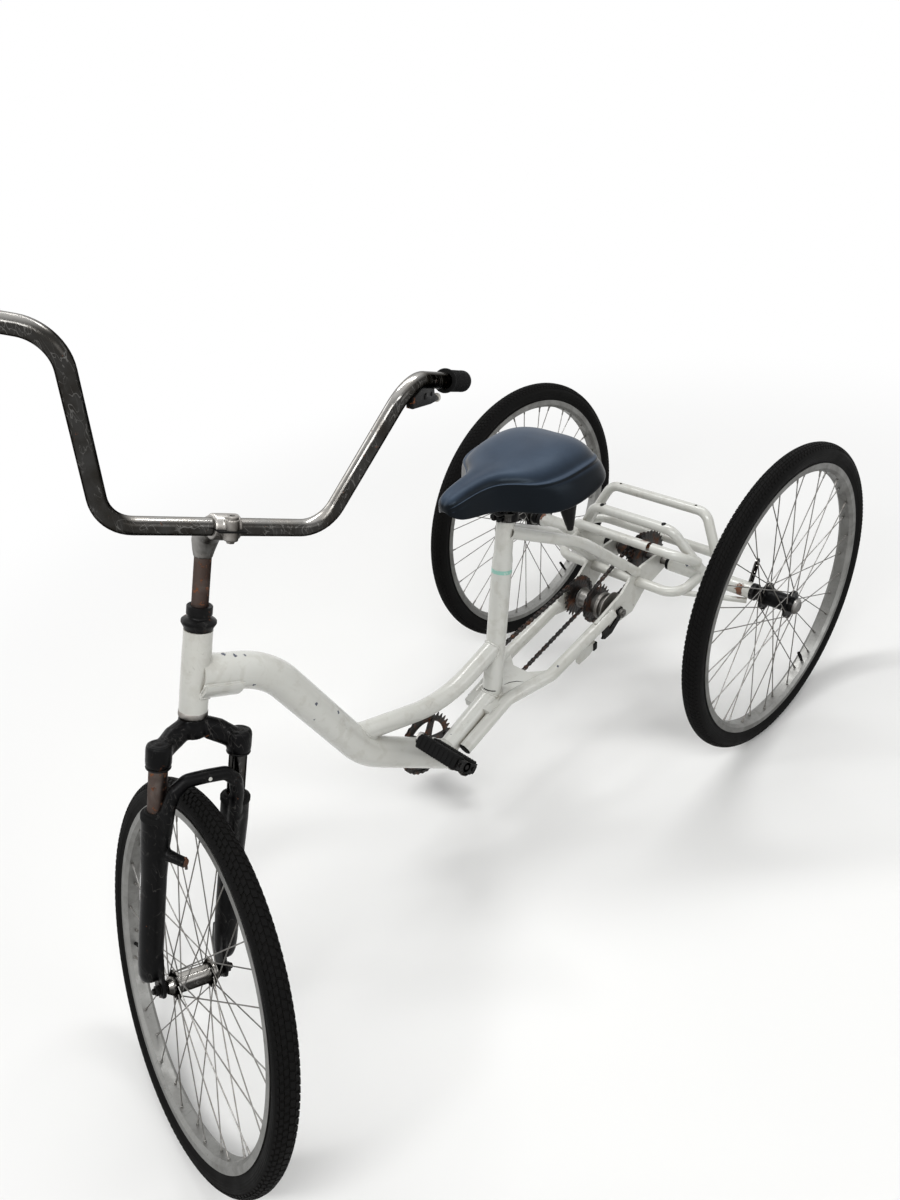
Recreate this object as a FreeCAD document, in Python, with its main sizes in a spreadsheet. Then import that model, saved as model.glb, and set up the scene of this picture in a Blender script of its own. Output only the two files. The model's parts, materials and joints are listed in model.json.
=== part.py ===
import FreeCAD, Part
import math
import os
import re
import Sketcher

# Adult step-through tricycle, in millimetres.
# +X is the rider's left, +Y is backwards, +Z is up.
# The origin is on the floor, in the middle of the whole; the rear axle is behind it.

Vector = FreeCAD.Vector
Placement = FreeCAD.Placement
Rotation = FreeCAD.Rotation

# ---------------------------------------------------------------------------
# Driving dimensions: alias, value, meaning
# ---------------------------------------------------------------------------
SIZES = (
    ("origin_back", 568, "rear axle, behind the origin"),
    ("wheel_radius", 329, "wheel and tyre, over the tread"),
    ("tyre_radius", 20, "tyre section"),
    ("tyre_height", 39, "tread to the rim's edge"),
    ("tyre_wall", 4, "tyre wall"),
    ("rim_depth", 17, "rim flange to spoke bed"),
    ("rim_width", 31, "rim, across"),
    ("rim_wall", 2.2, "rim sheet"),
    ("rear_track", 684, "between the rear wheel centre planes"),
    ("running_gap", 0.05, "radial clearance of a turning fit"),
    ("seat_gap", 0.15, "gap between pieces that are fixed together"),
    ("side_gap", 0.3, "end gap beside a turning piece"),
    ("steer_base_y", -1298, "steering axis, level with the front hub"),
    ("head_angle", 64.3, "steering axis above level"),
    ("steer_turn", 83, "steering turned to the left as parked"),
    ("fork_rake", 64.5, "front axle ahead of the steering axis"),
    ("head_gap", 125, "head tube bottom above the tread, along the steering axis"),
    ("head_length", 134, "head tube"),
    ("head_radius", 22, "head tube outside"),
    ("head_bore", 17, "head tube inside"),
    ("steerer_radius", 14.3, "fork steerer outside"),
    ("quill_radius", 12.7, "handlebar stem quill"),
    ("cup_height", 7.5, "lower headset cup"),
    ("main_radius", 30, "main tube outside"),
    ("main_wall", 2.5, "main tube wall"),
    ("gusset_length", 68, "head gusset, from the steering axis"),
    ("gusset_wall", 7, "head gusset"),
    ("upper_radius", 18.5, "upper tube outside"),
    ("stay_radius", 13.5, "chainstays"),
    ("seatstay_radius", 12, "seatstays"),
    ("loop_radius", 11, "rear frame tubes"),
    ("tube_wall", 1.6, "wall of the thin tubes"),
    ("seat_tube_radius", 20, "seat tube, lower part"),
    ("seat_tube_top_radius", 18, "seat tube, upper part"),
    ("seat_tube_wall", 2.4, "seat tube wall"),
    ("seat_angle", 72, "seat tube above level"),
    ("seat_foot_y", -515, "seat tube foot"),
    ("seat_foot_z", 283, "seat tube foot"),
    ("seat_tube_length", 384, "seat tube, foot to top"),
    ("seat_tube_step", 308, "foot to the step between its two diameters"),
    ("post_radius", 12.7, "seat post"),
    ("bottom_y", -672, "crank axis"),
    ("bottom_z", 240, "crank axis"),
    ("bottom_radius", 20, "bottom bracket shell outside"),
    ("bottom_bore", 17.5, "bottom bracket shell inside"),
    ("bottom_width", 70, "bottom bracket shell width"),
    ("spindle_radius", 9, "crank spindle"),
    ("crank_length", 170, "crank arm, between axes"),
    ("crank_angle", 61, "left crank, forwards above level"),
    ("crank_offset", 65, "middle of a crank arm from the frame's middle"),
    ("crank_thickness", 13, "crank arm"),
    ("pedal_spindle_radius", 4.5, "pedal spindle"),
    ("pedal_length", 106, "pedal body along its spindle"),
    ("pedal_width", 62, "pedal body, across"),
    ("pedal_thickness", 27, "pedal body"),
    ("pedal_angle", -52, "pedal as it hangs, from level"),
    ("ring_radius", 66.7, "chainring pitch circle"),
    ("ring_offset", 50, "primary chain line, to the right"),
    ("sprocket_radius", 44.5, "hub input sprocket pitch circle"),
    ("output_radius", 42.4, "hub output sprocket pitch circle"),
    ("output_offset", 2, "secondary chain line, to the left"),
    ("cog_radius", 44.5, "driven rear cog pitch circle"),
    ("sprocket_thickness", 3, "sprocket plates"),
    ("chain_width", 7, "chain, across"),
    ("chain_depth", 8, "chain, in its own plane"),
    ("chain_gap", 0.5, "chain loop above a sprocket's root circle"),
    ("hub_y", -165, "coaster hub axis"),
    ("hub_drop", 38, "coaster hub axis below the rear axle"),
    ("hub_axle_radius", 4.8, "coaster hub axle"),
    ("axle_radius", 8, "rear axle"),
    ("housing_radius", 17, "axle housing outside"),
    ("housing_wall", 3, "axle housing wall"),
    ("housing_inner", 88, "axle housing, inner end from the middle"),
    ("housing_outer", 284, "axle housing, outer end from the middle"),
    ("loop_half_width", 165, "front loop, middle to side tube"),
    ("loop_front", -93, "front loop, front bar"),
    ("rear_loop_half_width", 184, "rear loop, middle to side tube"),
    ("rear_loop_back", 80, "rear loop, back bar"),
    ("hoop_height", 102, "hoops, top bars above the rear axle"),
    ("hoop_radius", 11, "hoop tube"),
    ("plate_offset", 60, "stay plates, from the middle"),
    ("plate_thickness", 6, "stay plates"),
    ("stanchion_radius", 12.7, "fork stanchions"),
    ("fork_spread", 65, "fork legs, from the middle"),
    ("fork_advance", 33, "fork legs ahead of the steering axis, at the crown"),
    ("leg_lean", 1.5, "fork legs lean forwards, crown to axle"),
    ("leg_wall", 6.8, "fork lower legs at the top"),
    ("crown_gap", 59, "underside of the crown's ends above the tread"),
    ("lower_drop", 17, "top of the fork's lower legs below the tread"),
    ("front_axle_radius", 4.8, "front axle"),
    ("front_hub_width", 100, "between the fork ends"),
    ("bar_radius", 12.7, "handlebar"),
    ("bar_wall", 1.8, "handlebar wall"),
    ("stem_reach", 60, "handlebar ahead of the steering axis"),
    ("stem_height", 762, "handlebar clamp along the steering axis"),
    ("bar_shift", 4, "handlebar slid to the right in its clamp"),
    ("bar_tilt", 3.2, "handlebar and clamp, left side down"),
    ("bar_foot", 163, "handlebar, middle to the foot of a riser"),
    ("bar_half_width", 246, "handlebar, middle to the top of a riser"),
    ("bar_rise", 231, "risers, foot to top"),
    ("bar_lean", 38, "risers lean forwards, foot to top"),
    ("bar_end_length", 206, "handlebar ends, from the top of a riser"),
    ("bar_sweep", 60, "handlebar ends, outwards from straight back"),
    ("bar_bend", 55, "bend radius of the handlebar"),
    ("grip_length", 78, "grips"),
    ("grip_radius", 17, "grips outside"),
    ("lever_place", 58, "brake lever clamp, from the top of a riser"),
    ("spoke_radius", 1.05, "spokes"),
    ("spoke_count", 36, "spokes in a wheel"),
    ("saddle_length", 330, "saddle, nose to tail"),
    ("saddle_width", 278, "saddle at its widest"),
    ("saddle_height", 96, "saddle pad, rim to crown"),
    ("saddle_low", 688, "saddle rim above the floor"),
    ("saddle_front", -545, "saddle nose"),
    ("clamp_height", 33, "saddle clamp above the seat tube"),
    ("rim_radius", "=wheel_radius - tyre_height", "rim flange, outside"),
    ("head_low", "=wheel_radius + head_gap", "head tube bottom, along the steering axis"),
    ("crown_low", "=wheel_radius + crown_gap", "underside of the crown's ends"),
    ("lower_top", "=wheel_radius - lower_drop", "top of the fork's lower legs"),
    ("leg_radius", "=stanchion_radius + leg_wall", "fork lower legs at the top"),
    ("hub_z", "=wheel_radius - hub_drop", "coaster hub axis"),
    ("hoop_top", "=wheel_radius + hoop_height", "hoops, top bars"),
)

doc = FreeCAD.newDocument("Tricycle")
sheet = doc.addObject("Spreadsheet::Sheet", "Sizes")
for row, (alias, value, meaning) in enumerate(SIZES, start=1):
    sheet.set(f"A{row}", alias)
    sheet.set(f"B{row}", str(value))
    sheet.set(f"C{row}", meaning)
    sheet.setAlias(f"B{row}", alias)
doc.recompute()

NODES = {}
X_AXIS = Vector(1, 0, 0)
Y_AXIS = Vector(0, 1, 0)
Z_AXIS = Vector(0, 0, 1)
ALONG_X = Rotation(Z_AXIS, X_AXIS)
SIDES = (("left", 1), ("right", -1))


# ---------------------------------------------------------------------------
# Helpers
# ---------------------------------------------------------------------------
def linked(text):
    """An expression on the sheet: each alias in the text gets the sheet's name."""
    return re.sub(r"[a-z_]{3,}", lambda found: "Sizes." + found.group(), text)


def size(text):
    """The value of an alias, or of an expression of aliases."""
    return float(sheet.evalExpression(linked(text)))


def bound(item, **properties):
    """Bind properties of a document object to the sheet."""
    for name, text in properties.items():
        item.setExpression(name, linked(text))
    return item


def keep(name, item):
    """Take an object as the sub-part of that name, measured from the origin."""
    item.Placement = ORIGIN * item.Placement
    item.Label = name
    NODES[name] = item
    return item


def body(tag):
    return doc.addObject("PartDesign::Body", tag)


def sketch(owner, role, tag):
    plane = [item for item in owner.Origin.OriginFeatures if item.Role == role][0]
    drawn = owner.newObject("Sketcher::SketchObject", tag)
    drawn.AttachmentSupport = [(plane, "")]
    drawn.MapMode = "FlatFace"
    return drawn


def outline(drawn, corners):
    """A closed outline whose corners are pairs of expressions."""
    points = [Vector(size(u), size(v), 0) for u, v in corners]
    first = drawn.GeometryCount
    count = len(points)
    for step, point in enumerate(points):
        drawn.addGeometry(Part.LineSegment(point, points[(step + 1) % count]), False)
    for step in range(count):
        following = first + (step + 1) % count
        drawn.addConstraint(Sketcher.Constraint("Coincident", first + step, 2, following, 1))
    for step, (u, v) in enumerate(corners):
        for axis, text, place in (("X", u, points[step].x), ("Y", v, points[step].y)):
            if abs(place) < 1e-9:
                line = -2 if axis == "X" else -1
                drawn.addConstraint(Sketcher.Constraint("PointOnObject", first + step, 1, line))
                continue
            rule = Sketcher.Constraint("Distance" + axis, -1, 1, first + step, 1, place)
            index = drawn.addConstraint(rule)
            label = f"{axis.lower()}{first + step}"
            drawn.renameConstraint(index, label)
            drawn.setExpression(f"Constraints.{label}", linked(text))


def hole(drawn, u, v, radius):
    """A round hole in a sketch, at a pair of expressions."""
    centre = Vector(size(u), size(v), 0)
    index = drawn.addGeometry(Part.Circle(centre, Z_AXIS, size(radius)), False)
    rules = (
        ("DistanceX", (-1, 1, index, 3, centre.x), u),
        ("DistanceY", (-1, 1, index, 3, centre.y), v),
        ("Radius", (index, size(radius)), radius),
    )
    for kind, parts, text in rules:
        if kind != "Radius" and abs(parts[-1]) < 1e-9:
            line = -2 if kind == "DistanceX" else -1
            drawn.addConstraint(Sketcher.Constraint("PointOnObject", index, 3, line))
            continue
        rule = drawn.addConstraint(Sketcher.Constraint(kind, *parts))
        label = f"{kind.lower()}{index}"
        drawn.renameConstraint(rule, label)
        drawn.setExpression(f"Constraints.{label}", linked(text))


def turned(tag, corners, place=Placement()):
    """A body turned about its own Z axis: corners are (radius, height)."""
    owner = body(tag)
    drawn = sketch(owner, "XZ_Plane", tag + "_profile")
    outline(drawn, corners)
    doc.recompute()
    turn = owner.newObject("PartDesign::Revolution", tag + "_turn")
    turn.Profile = drawn
    turn.ReferenceAxis = (drawn, ["V_Axis"])
    turn.Angle = 360
    owner.Placement = place
    return owner


def plate(tag, corners, thickness, place=Placement(), holes=()):
    """A flat body: corners are in its own XY plane, half the thickness to each side."""
    owner = body(tag)
    drawn = sketch(owner, "XY_Plane", tag + "_outline")
    outline(drawn, corners)
    for u, v, radius in holes:
        hole(drawn, u, v, radius)
    doc.recompute()
    pad = owner.newObject("PartDesign::Pad", tag + "_pad")
    pad.Profile = drawn
    pad.SideType = "Symmetric"
    bound(pad, Length=thickness)
    owner.Placement = place
    return owner


def between(start, end):
    """A placement whose Z axis runs from start to end."""
    return Placement(start, Rotation(Z_AXIS, end - start))


def rod(tag, start, end, radius):
    """A round bar between two points."""
    bar = doc.addObject("Part::Cylinder", tag)
    bound(bar, Radius=radius)
    bar.Height = (end - start).Length
    bar.Placement = between(start, end)
    return bar


def route(points, bend):
    """A wire of straight runs joined by tangent arcs."""
    edges = []
    last = points[0]
    for before, corner, after in zip(points, points[1:], points[2:]):
        inward = (before - corner).normalize()
        outward = (after - corner).normalize()
        half = (math.pi - inward.getAngle(outward)) / 2
        radius = bend
        setback = radius * math.tan(half)
        start = corner + inward * setback
        end = corner + outward * setback
        middle = (inward + outward).normalize()
        rise = radius / math.cos(half) - radius
        edges.append(Part.LineSegment(last, start).toShape())
        edges.append(Part.Arc(start, corner + middle * rise, end).toShape())
        last = end
    edges.append(Part.LineSegment(last, points[-1]).toShape())
    return Part.Wire(edges)


def sweep(tag, path, radius):
    """A solid round bar along a path object; the radius is an expression."""
    ring = doc.addObject("Part::Circle", tag + "_section")
    bound(ring, Radius=radius)
    first = path.Shape.Edges[0]
    start = first.valueAt(first.FirstParameter)
    ring.Placement = Placement(start, Rotation(Z_AXIS, first.tangentAt(first.FirstParameter)))
    swept = doc.addObject("Part::Sweep", tag)
    swept.Sections = [ring]
    swept.Spine = (path, [f"Edge{step + 1}" for step in range(len(path.Shape.Edges))])
    swept.Solid = True
    swept.Frenet = False
    return swept


def path_of(tag, points, bend):
    path = doc.addObject("Part::Feature", tag)
    path.Shape = route(points, bend)
    return path


def less(tag, base, *tools):
    """The base with the tools cut away, one after the other."""
    for step, tool in enumerate(tools):
        cut = doc.addObject("Part::Cut", f"{tag}_less{step}")
        cut.Base = base
        cut.Tool = tool
        base = cut
    return base


def joined(tag, *items):
    """One solid from several that overlap, or one group of solids that don't touch."""
    if len(items) == 1:
        return items[0]
    fuse = doc.addObject("Part::MultiFuse", tag)
    fuse.Shapes = list(items)
    return fuse


def grouped(tag, *items):
    """Solids of one sub-part that don't touch each other."""
    group = doc.addObject("Part::Compound", tag)
    group.Links = list(items)
    return group


def tube(tag, points, bend, radius, wall, *tools):
    """A hollow bent tube, with the tools cut away."""
    path = path_of(tag + "_path", points, bend)
    outside = sweep(tag + "_outside", path, radius)
    inside = sweep(tag + "_inside", path, f"{radius} - {wall}")
    return less(tag, outside, inside, *tools)


# ---------------------------------------------------------------------------
# Axes and reference points, measured from the floor below the rear axle
# ---------------------------------------------------------------------------
ORIGIN = Placement(Vector(0, size("origin_back"), 0), Rotation())
AXLE = Vector(0, 0, size("wheel_radius"))
BOTTOM = Vector(0, size("bottom_y"), size("bottom_z"))
HUB = Vector(0, size("hub_y"), size("hub_z"))
SEAT_FOOT = Vector(0, size("seat_foot_y"), size("seat_foot_z"))
SEAT_TURN = Rotation(X_AXIS, size("seat_angle") - 90)
SEAT_UP = SEAT_TURN.multVec(Z_AXIS)
SEAT_TOP = SEAT_FOOT + SEAT_UP * size("seat_tube_length")

# The steering frame has the rider's left as X, backwards as Y and the steering axis as Z.
STEER_TURN = Rotation(X_AXIS, size("head_angle") - 90) * Rotation(Z_AXIS, size("steer_turn"))
HEAD_TURN = Rotation(X_AXIS, size("head_angle") - 90)


def steering_base():
    """The point of the steering axis level with the front hub, with the tyre on the floor."""
    axle = STEER_TURN.multVec(X_AXIS)
    forward = STEER_TURN.multVec(Y_AXIS) * -1
    ring = size("wheel_radius - tyre_radius")
    height = ring * math.sqrt(1 - axle.z ** 2) + size("tyre_radius")
    return Vector(0, size("steer_base_y"), height - size("fork_rake") * forward.z)


STEER = Placement(steering_base(), STEER_TURN)
HEAD = Placement(steering_base(), HEAD_TURN)


def on_head(height):
    return HEAD.multVec(Vector(0, 0, height))


def steered(x, forward, height):
    """A point of the steering frame, in the frame of the whole."""
    return STEER.multVec(Vector(x, -forward, height))


def mirrored(points):
    return [Vector(-point.x, point.y, point.z) for point in points]


def symmetric(points):
    """The path of a hoop from its left half."""
    return points + mirrored(reversed(points))


# ---------------------------------------------------------------------------
# Front frame: head tube, main tube, upper tube, seat tube, bottom bracket
# ---------------------------------------------------------------------------
def head_tube():
    keep("head_tube", turned("HeadTube", (
        ("head_bore", "head_low"),
        ("head_radius", "head_low"),
        ("head_radius", "head_low + head_length"),
        ("head_bore", "head_low + head_length"),
    ), HEAD))


def headset_cups():
    low = turned("LowerCup", (
        ("steerer_radius + running_gap", "head_low - cup_height"),
        ("head_radius - 1.5", "head_low - cup_height"),
        ("head_radius", "head_low - seat_gap"),
        ("steerer_radius + running_gap", "head_low - seat_gap"),
    ), HEAD)
    top = "head_low + head_length"
    high = turned("UpperCup", (
        ("steerer_radius + running_gap", f"{top} + seat_gap"),
        ("head_radius - 1", f"{top} + seat_gap"),
        ("head_radius + 1", f"{top} + 5"),
        ("head_radius + 4.5", f"{top} + 11"),
        ("head_radius + 4.5", f"{top} + 13"),
        ("steerer_radius + running_gap", f"{top} + 13"),
    ), HEAD)
    keep("headset_cups", grouped("HeadsetCups", low, high))


def main_tube_points():
    start = on_head(size("head_low") + 60)
    return [start, Vector(0, -964, 692), Vector(0, -841, 393), BOTTOM]


def head_cutter(tag):
    return rod(tag, on_head(size("head_low") - 20), on_head(size("head_low + head_length") + 20),
               "head_radius + seat_gap")


def shell_cutter(tag):
    reach = Vector(60, 0, 0)
    return rod(tag, BOTTOM - reach, BOTTOM + reach, "bottom_radius + seat_gap")


def seat_cutter(tag):
    return rod(tag, SEAT_FOOT - SEAT_UP * 30, SEAT_TOP, "seat_tube_radius + seat_gap")


def main_tube():
    keep("main_tube", tube("MainTube", main_tube_points(), 170, "main_radius", "main_wall",
                           head_cutter("MainTubeAtHead"), shell_cutter("MainTubeAtShell")))


def main_cutter(tag):
    path = path_of(tag + "_path", main_tube_points(), 170)
    return sweep(tag, path, "main_radius + seat_gap")


def head_gusset():
    """A half sleeve under the main tube, against the head tube."""
    start, corner = main_tube_points()[:2]
    along = (corner - start).normalize()
    reach = along * size("gusset_length")
    sleeve = rod("GussetOutside", start, start + reach, "main_radius + gusset_wall + seat_gap")
    inside = rod("GussetInside", start - along, start + reach + along, "main_radius + seat_gap")
    upper = doc.addObject("Part::Box", "GussetUpper")
    bound(upper, Length="main_radius * 4", Width="gusset_length * 2", Height="gusset_length * 2")
    turn = Rotation(X_AXIS, Z_AXIS.cross(along), along, "ZXY")
    side = turn.multVec(Y_AXIS)
    lift = -6 if side.z > 0 else 6 - size("gusset_length") * 2
    corner_place = start + turn.multVec(Vector(-size("main_radius") * 2, 0, 0)) + side * lift
    upper.Placement = Placement(corner_place, turn)
    keep("head_gusset", less("HeadGusset", sleeve, inside, upper, head_cutter("GussetAtHead")))


def upper_tube():
    points = [Vector(0, -860, 447), Vector(0, -640, 358), SEAT_FOOT + SEAT_UP * 116]
    keep("upper_tube", tube("UpperTube", points, 260, "upper_radius", "tube_wall",
                            main_cutter("UpperTubeAtMain"), seat_cutter("UpperTubeAtSeat")))


def seat_tube():
    keep("seat_tube", turned("SeatTube", (
        ("post_radius + seat_gap", "seat_tube_step - 40"),
        ("seat_tube_radius - seat_tube_wall", "seat_tube_step - 60"),
        ("seat_tube_radius - seat_tube_wall", "-20"),
        ("seat_tube_radius", "-20"),
        ("seat_tube_radius", "seat_tube_step - 6"),
        ("seat_tube_top_radius", "seat_tube_step + 6"),
        ("seat_tube_top_radius", "seat_tube_length"),
        ("post_radius + seat_gap", "seat_tube_length"),
    ), Placement(SEAT_FOOT, SEAT_TURN)))


def bottom_bracket_shell():
    keep("bottom_bracket_shell", turned("BottomBracketShell", (
        ("bottom_bore", "-bottom_width / 2"),
        ("bottom_radius", "-bottom_width / 2"),
        ("bottom_radius", "bottom_width / 2"),
        ("bottom_bore", "bottom_width / 2"),
    ), Placement(BOTTOM, ALONG_X)))


def bottom_bracket_cups():
    cups = []
    for side, sign in SIDES:
        cups.append(turned("Cup_" + side, (
            ("spindle_radius + running_gap", "bottom_width / 2 - 12"),
            ("bottom_bore - seat_gap", "bottom_width / 2 - 12"),
            ("bottom_bore - seat_gap", "bottom_width / 2 + 0.5"),
            ("bottom_radius - 1", "bottom_width / 2 + 0.5"),
            ("bottom_radius - 1", "bottom_width / 2 + 3"),
            ("spindle_radius + running_gap", "bottom_width / 2 + 3"),
        ), Placement(BOTTOM, Rotation(Z_AXIS, X_AXIS * sign))))
    keep("bottom_bracket_cups", grouped("BottomBracketCups", *cups))


def lower_link_points():
    return [BOTTOM, Vector(0, -600, 262), SEAT_FOOT + SEAT_UP * 2]


def lower_link():
    keep("lower_link", tube("LowerLink", lower_link_points(), 120, "seat_tube_radius", "seat_tube_wall",
                            shell_cutter("LinkAtShell"), main_cutter("LinkAtMain"),
                            seat_cutter("LinkAtSeat")))


# ---------------------------------------------------------------------------
# Rear frame: stays, plates, loops, hoops, axle housings
# ---------------------------------------------------------------------------
def chainstay_points(sign):
    beside = size("seat_tube_radius + stay_radius + seat_gap * 2")
    wide = size("plate_offset")
    level = size("seat_foot_z - 5")
    rear = AXLE.z - 28
    return [
        Vector(beside * sign, -640, 247) if sign > 0 else Vector(beside * sign, -540, level - 8),
        Vector(beside * sign, -505, level),
        Vector((wide + 1) * sign, -396, level),
        Vector(wide * sign, -186 if sign > 0 else -226, rear),
    ]


def seatstay_points(sign):
    narrow = size("seatstay_radius + 1")
    wide = size("plate_offset")
    top = SEAT_TOP + SEAT_UP * -24
    return [
        Vector(narrow * sign, top.y, top.z),
        Vector(36 * sign, -232, 508),
        Vector(wide * sign, -92, AXLE.z + 23),
    ]


def plate_slot(tag, sign):
    """The slot that a stay plate needs in the tubes that hold it."""
    slot = doc.addObject("Part::Box", tag)
    bound(slot, Length="plate_thickness + seat_gap * 2")
    slot.Width = 256
    slot.Height = 130
    middle = size("plate_offset") * sign - size("plate_thickness + seat_gap * 2") / 2
    slot.Placement = Placement(Vector(middle, -244, AXLE.z - 79), Rotation())
    return slot


def front_loop_points():
    side = size("loop_half_width")
    front = size("loop_front")
    return symmetric([Vector(side, 0, AXLE.z), Vector(side, front, AXLE.z)])


def loop_cutter(tag):
    reach = Vector(size("loop_half_width") - 40, 0, 0)
    middle = Vector(0, size("loop_front"), AXLE.z)
    return rod(tag, middle - reach, middle + reach, "loop_radius + seat_gap")


def chainstays():
    stays = []
    for side, sign in SIDES:
        tag = "Chainstay_" + side
        stays.append(tube(tag, chainstay_points(sign), 50, "stay_radius", "tube_wall",
                          plate_slot(tag + "_slot", sign)))
    keep("chainstays", grouped("Chainstays", *stays))


def seatstays():
    stays = []
    for side, sign in SIDES:
        tag = "Seatstay_" + side
        top = rod(tag + "_at_seat", SEAT_TOP - SEAT_UP * 90, SEAT_TOP + SEAT_UP * 40,
                  "seat_tube_top_radius + seat_gap")
        stays.append(tube(tag, seatstay_points(sign), 220, "seatstay_radius", "tube_wall", top,
                          plate_slot(tag + "_slot", sign), loop_cutter(tag + "_at_loop")))
    keep("seatstays", grouped("Seatstays", *stays))


def stay_plates():
    plates = []
    upright = Rotation(Y_AXIS, Z_AXIS, X_AXIS, "ZXY")
    for side, sign in SIDES:
        tag = "StayPlate_" + side
        flat = plate(tag, (
            ("-242", "wheel_radius - 19"),
            ("-242", "wheel_radius - 47"),
            ("-196", "hub_z - 23"),
            ("-120", "hub_z - 29"),
            ("-72", "wheel_radius - 37"),
            ("12", "wheel_radius - 23"),
            ("24", "wheel_radius"),
            ("12", "wheel_radius + 23"),
            ("-72", "wheel_radius + 29"),
            ("-104", "wheel_radius + 27"),
            ("-150", "wheel_radius + 1"),
            ("-208", "wheel_radius - 11"),
        ), "plate_thickness", Placement(Vector(size("plate_offset") * sign, 0, 0), upright), (
            ("0", "wheel_radius", "axle_radius + 1.5"),
            ("loop_front", "wheel_radius", "loop_radius + seat_gap"),
            ("hub_y", "hub_z", "hub_axle_radius + seat_gap"),
        ))
        plates.append(flat)
    keep("stay_plates", grouped("StayPlates", *plates))


def housing_cutter(tag, sign):
    start = Vector(size("housing_inner") * sign, 0, AXLE.z)
    end = Vector(size("housing_outer") * sign, 0, AXLE.z)
    return rod(tag, start, end, "housing_radius + seat_gap")


def base_loops():
    front = tube("FrontLoop", front_loop_points(), 42, "loop_radius", "tube_wall",
                 housing_cutter("FrontLoopAtLeft", 1), housing_cutter("FrontLoopAtRight", -1))
    side = size("rear_loop_half_width")
    back = size("rear_loop_back")
    points = symmetric([Vector(side, 0, AXLE.z), Vector(side, back, AXLE.z)])
    rear = tube("RearLoop", points, 42, "loop_radius", "tube_wall",
                housing_cutter("RearLoopAtLeft", 1), housing_cutter("RearLoopAtRight", -1))
    keep("base_loops", grouped("BaseLoops", front, rear))


def axle_hoop_points():
    top = size("hoop_top")
    return symmetric([Vector(170, 0, AXLE.z), Vector(104, -15, top)])


def rear_hoop_points():
    top = size("hoop_top")
    back = size("rear_loop_back")
    foot = size("rear_loop_half_width")
    return symmetric([Vector(foot - 3, back - 40, AXLE.z), Vector(126, back, top)])


def bolt_holes(tag, place, reach):
    """Upright holes for the basket's bolts in a hoop's top bar."""
    return [rod(f"{tag}_{side}", Vector(reach * sign, place, size("hoop_top") - 20),
                Vector(reach * sign, place, size("hoop_top") + 20), "3.2")
            for side, sign in SIDES]


def rack_hoops():
    front = tube("AxleHoop", axle_hoop_points(), 34, "hoop_radius", "tube_wall",
                 housing_cutter("AxleHoopAtLeft", 1), housing_cutter("AxleHoopAtRight", -1),
                 *bolt_holes("AxleHoopBolt", -15, 82))
    back = size("rear_loop_back")
    side = size("rear_loop_half_width")
    ends = symmetric([Vector(side, 0, AXLE.z), Vector(side, back, AXLE.z)])
    loop = sweep("RearHoopAtLoop", path_of("RearHoopAtLoop_path", ends, 42),
                 "loop_radius + seat_gap")
    rear = tube("RearHoop", rear_hoop_points(), 34, "hoop_radius", "tube_wall", loop,
                *bolt_holes("RearHoopBolt", back, 100))
    keep("rack_hoops", grouped("RackHoops", front, rear))


def cross_tube():
    points = symmetric([Vector(158, -3, AXLE.z + 29), Vector(136, -45, AXLE.z + 63)])
    hoop = sweep("CrossTubeAtHoop", path_of("CrossTubeAtHoop_path", axle_hoop_points(), 34),
                 "hoop_radius + seat_gap")
    notch = doc.addObject("Part::Box", "CrossTubeNotch")
    notch.Length = 9
    notch.Width = 26
    notch.Height = 17
    notch.Placement = Placement(Vector(61, -60, AXLE.z + 59), Rotation())
    keep("cross_tube", tube("CrossTube", points, 30, "loop_radius", "tube_wall", hoop, notch))


def axle_housings():
    tubes = []
    for side, sign in SIDES:
        tubes.append(turned("Housing_" + side, (
            ("housing_radius - housing_wall", "housing_inner"),
            ("housing_radius", "housing_inner"),
            ("housing_radius", "housing_outer"),
            ("housing_radius - housing_wall", "housing_outer"),
        ), Placement(AXLE, Rotation(Z_AXIS, X_AXIS * sign))))
    keep("axle_housings", grouped("AxleHousings", *tubes))


def axle_bearings():
    rings = []
    bore = "axle_radius + running_gap"
    fit = "housing_radius - housing_wall - seat_gap"
    for side, sign in SIDES:
        place = Placement(AXLE, Rotation(Z_AXIS, X_AXIS * sign))
        rings.append(turned("InnerBearing_" + side, (
            (bore, "housing_inner - 8"),
            ("housing_radius - 1", "housing_inner - 8"),
            ("housing_radius - 1", "housing_inner - seat_gap"),
            (fit, "housing_inner - seat_gap"),
            (fit, "housing_inner + 14"),
            (bore, "housing_inner + 14"),
        ), place))
        rings.append(turned("OuterBearing_" + side, (
            (bore, "housing_outer - 14"),
            (fit, "housing_outer - 14"),
            (fit, "housing_outer + seat_gap"),
            ("housing_radius + 1", "housing_outer + seat_gap"),
            ("housing_radius + 1", "housing_outer + 10"),
            ("housing_radius - 5", "housing_outer + 13"),
            (bore, "housing_outer + 13"),
        ), place))
    keep("axle_bearings", grouped("AxleBearings", *rings))


def housing_braces():
    braces = []
    for side, sign in SIDES:
        start = Vector(156 * sign, -72, AXLE.z - 7)
        end = Vector(276 * sign, -8, AXLE.z - 23)
        loop = sweep("BraceAtLoop_" + side,
                     path_of(f"BraceAtLoop_{side}_path", front_loop_points(), 42),
                     "loop_radius + seat_gap")
        tag = "Brace_" + side
        braces.append(less(tag, rod(tag + "_bar", start, end, "6"), loop,
                           housing_cutter("BraceAtHousing_" + side, sign)))
    keep("housing_braces", grouped("HousingBraces", *braces))


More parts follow.
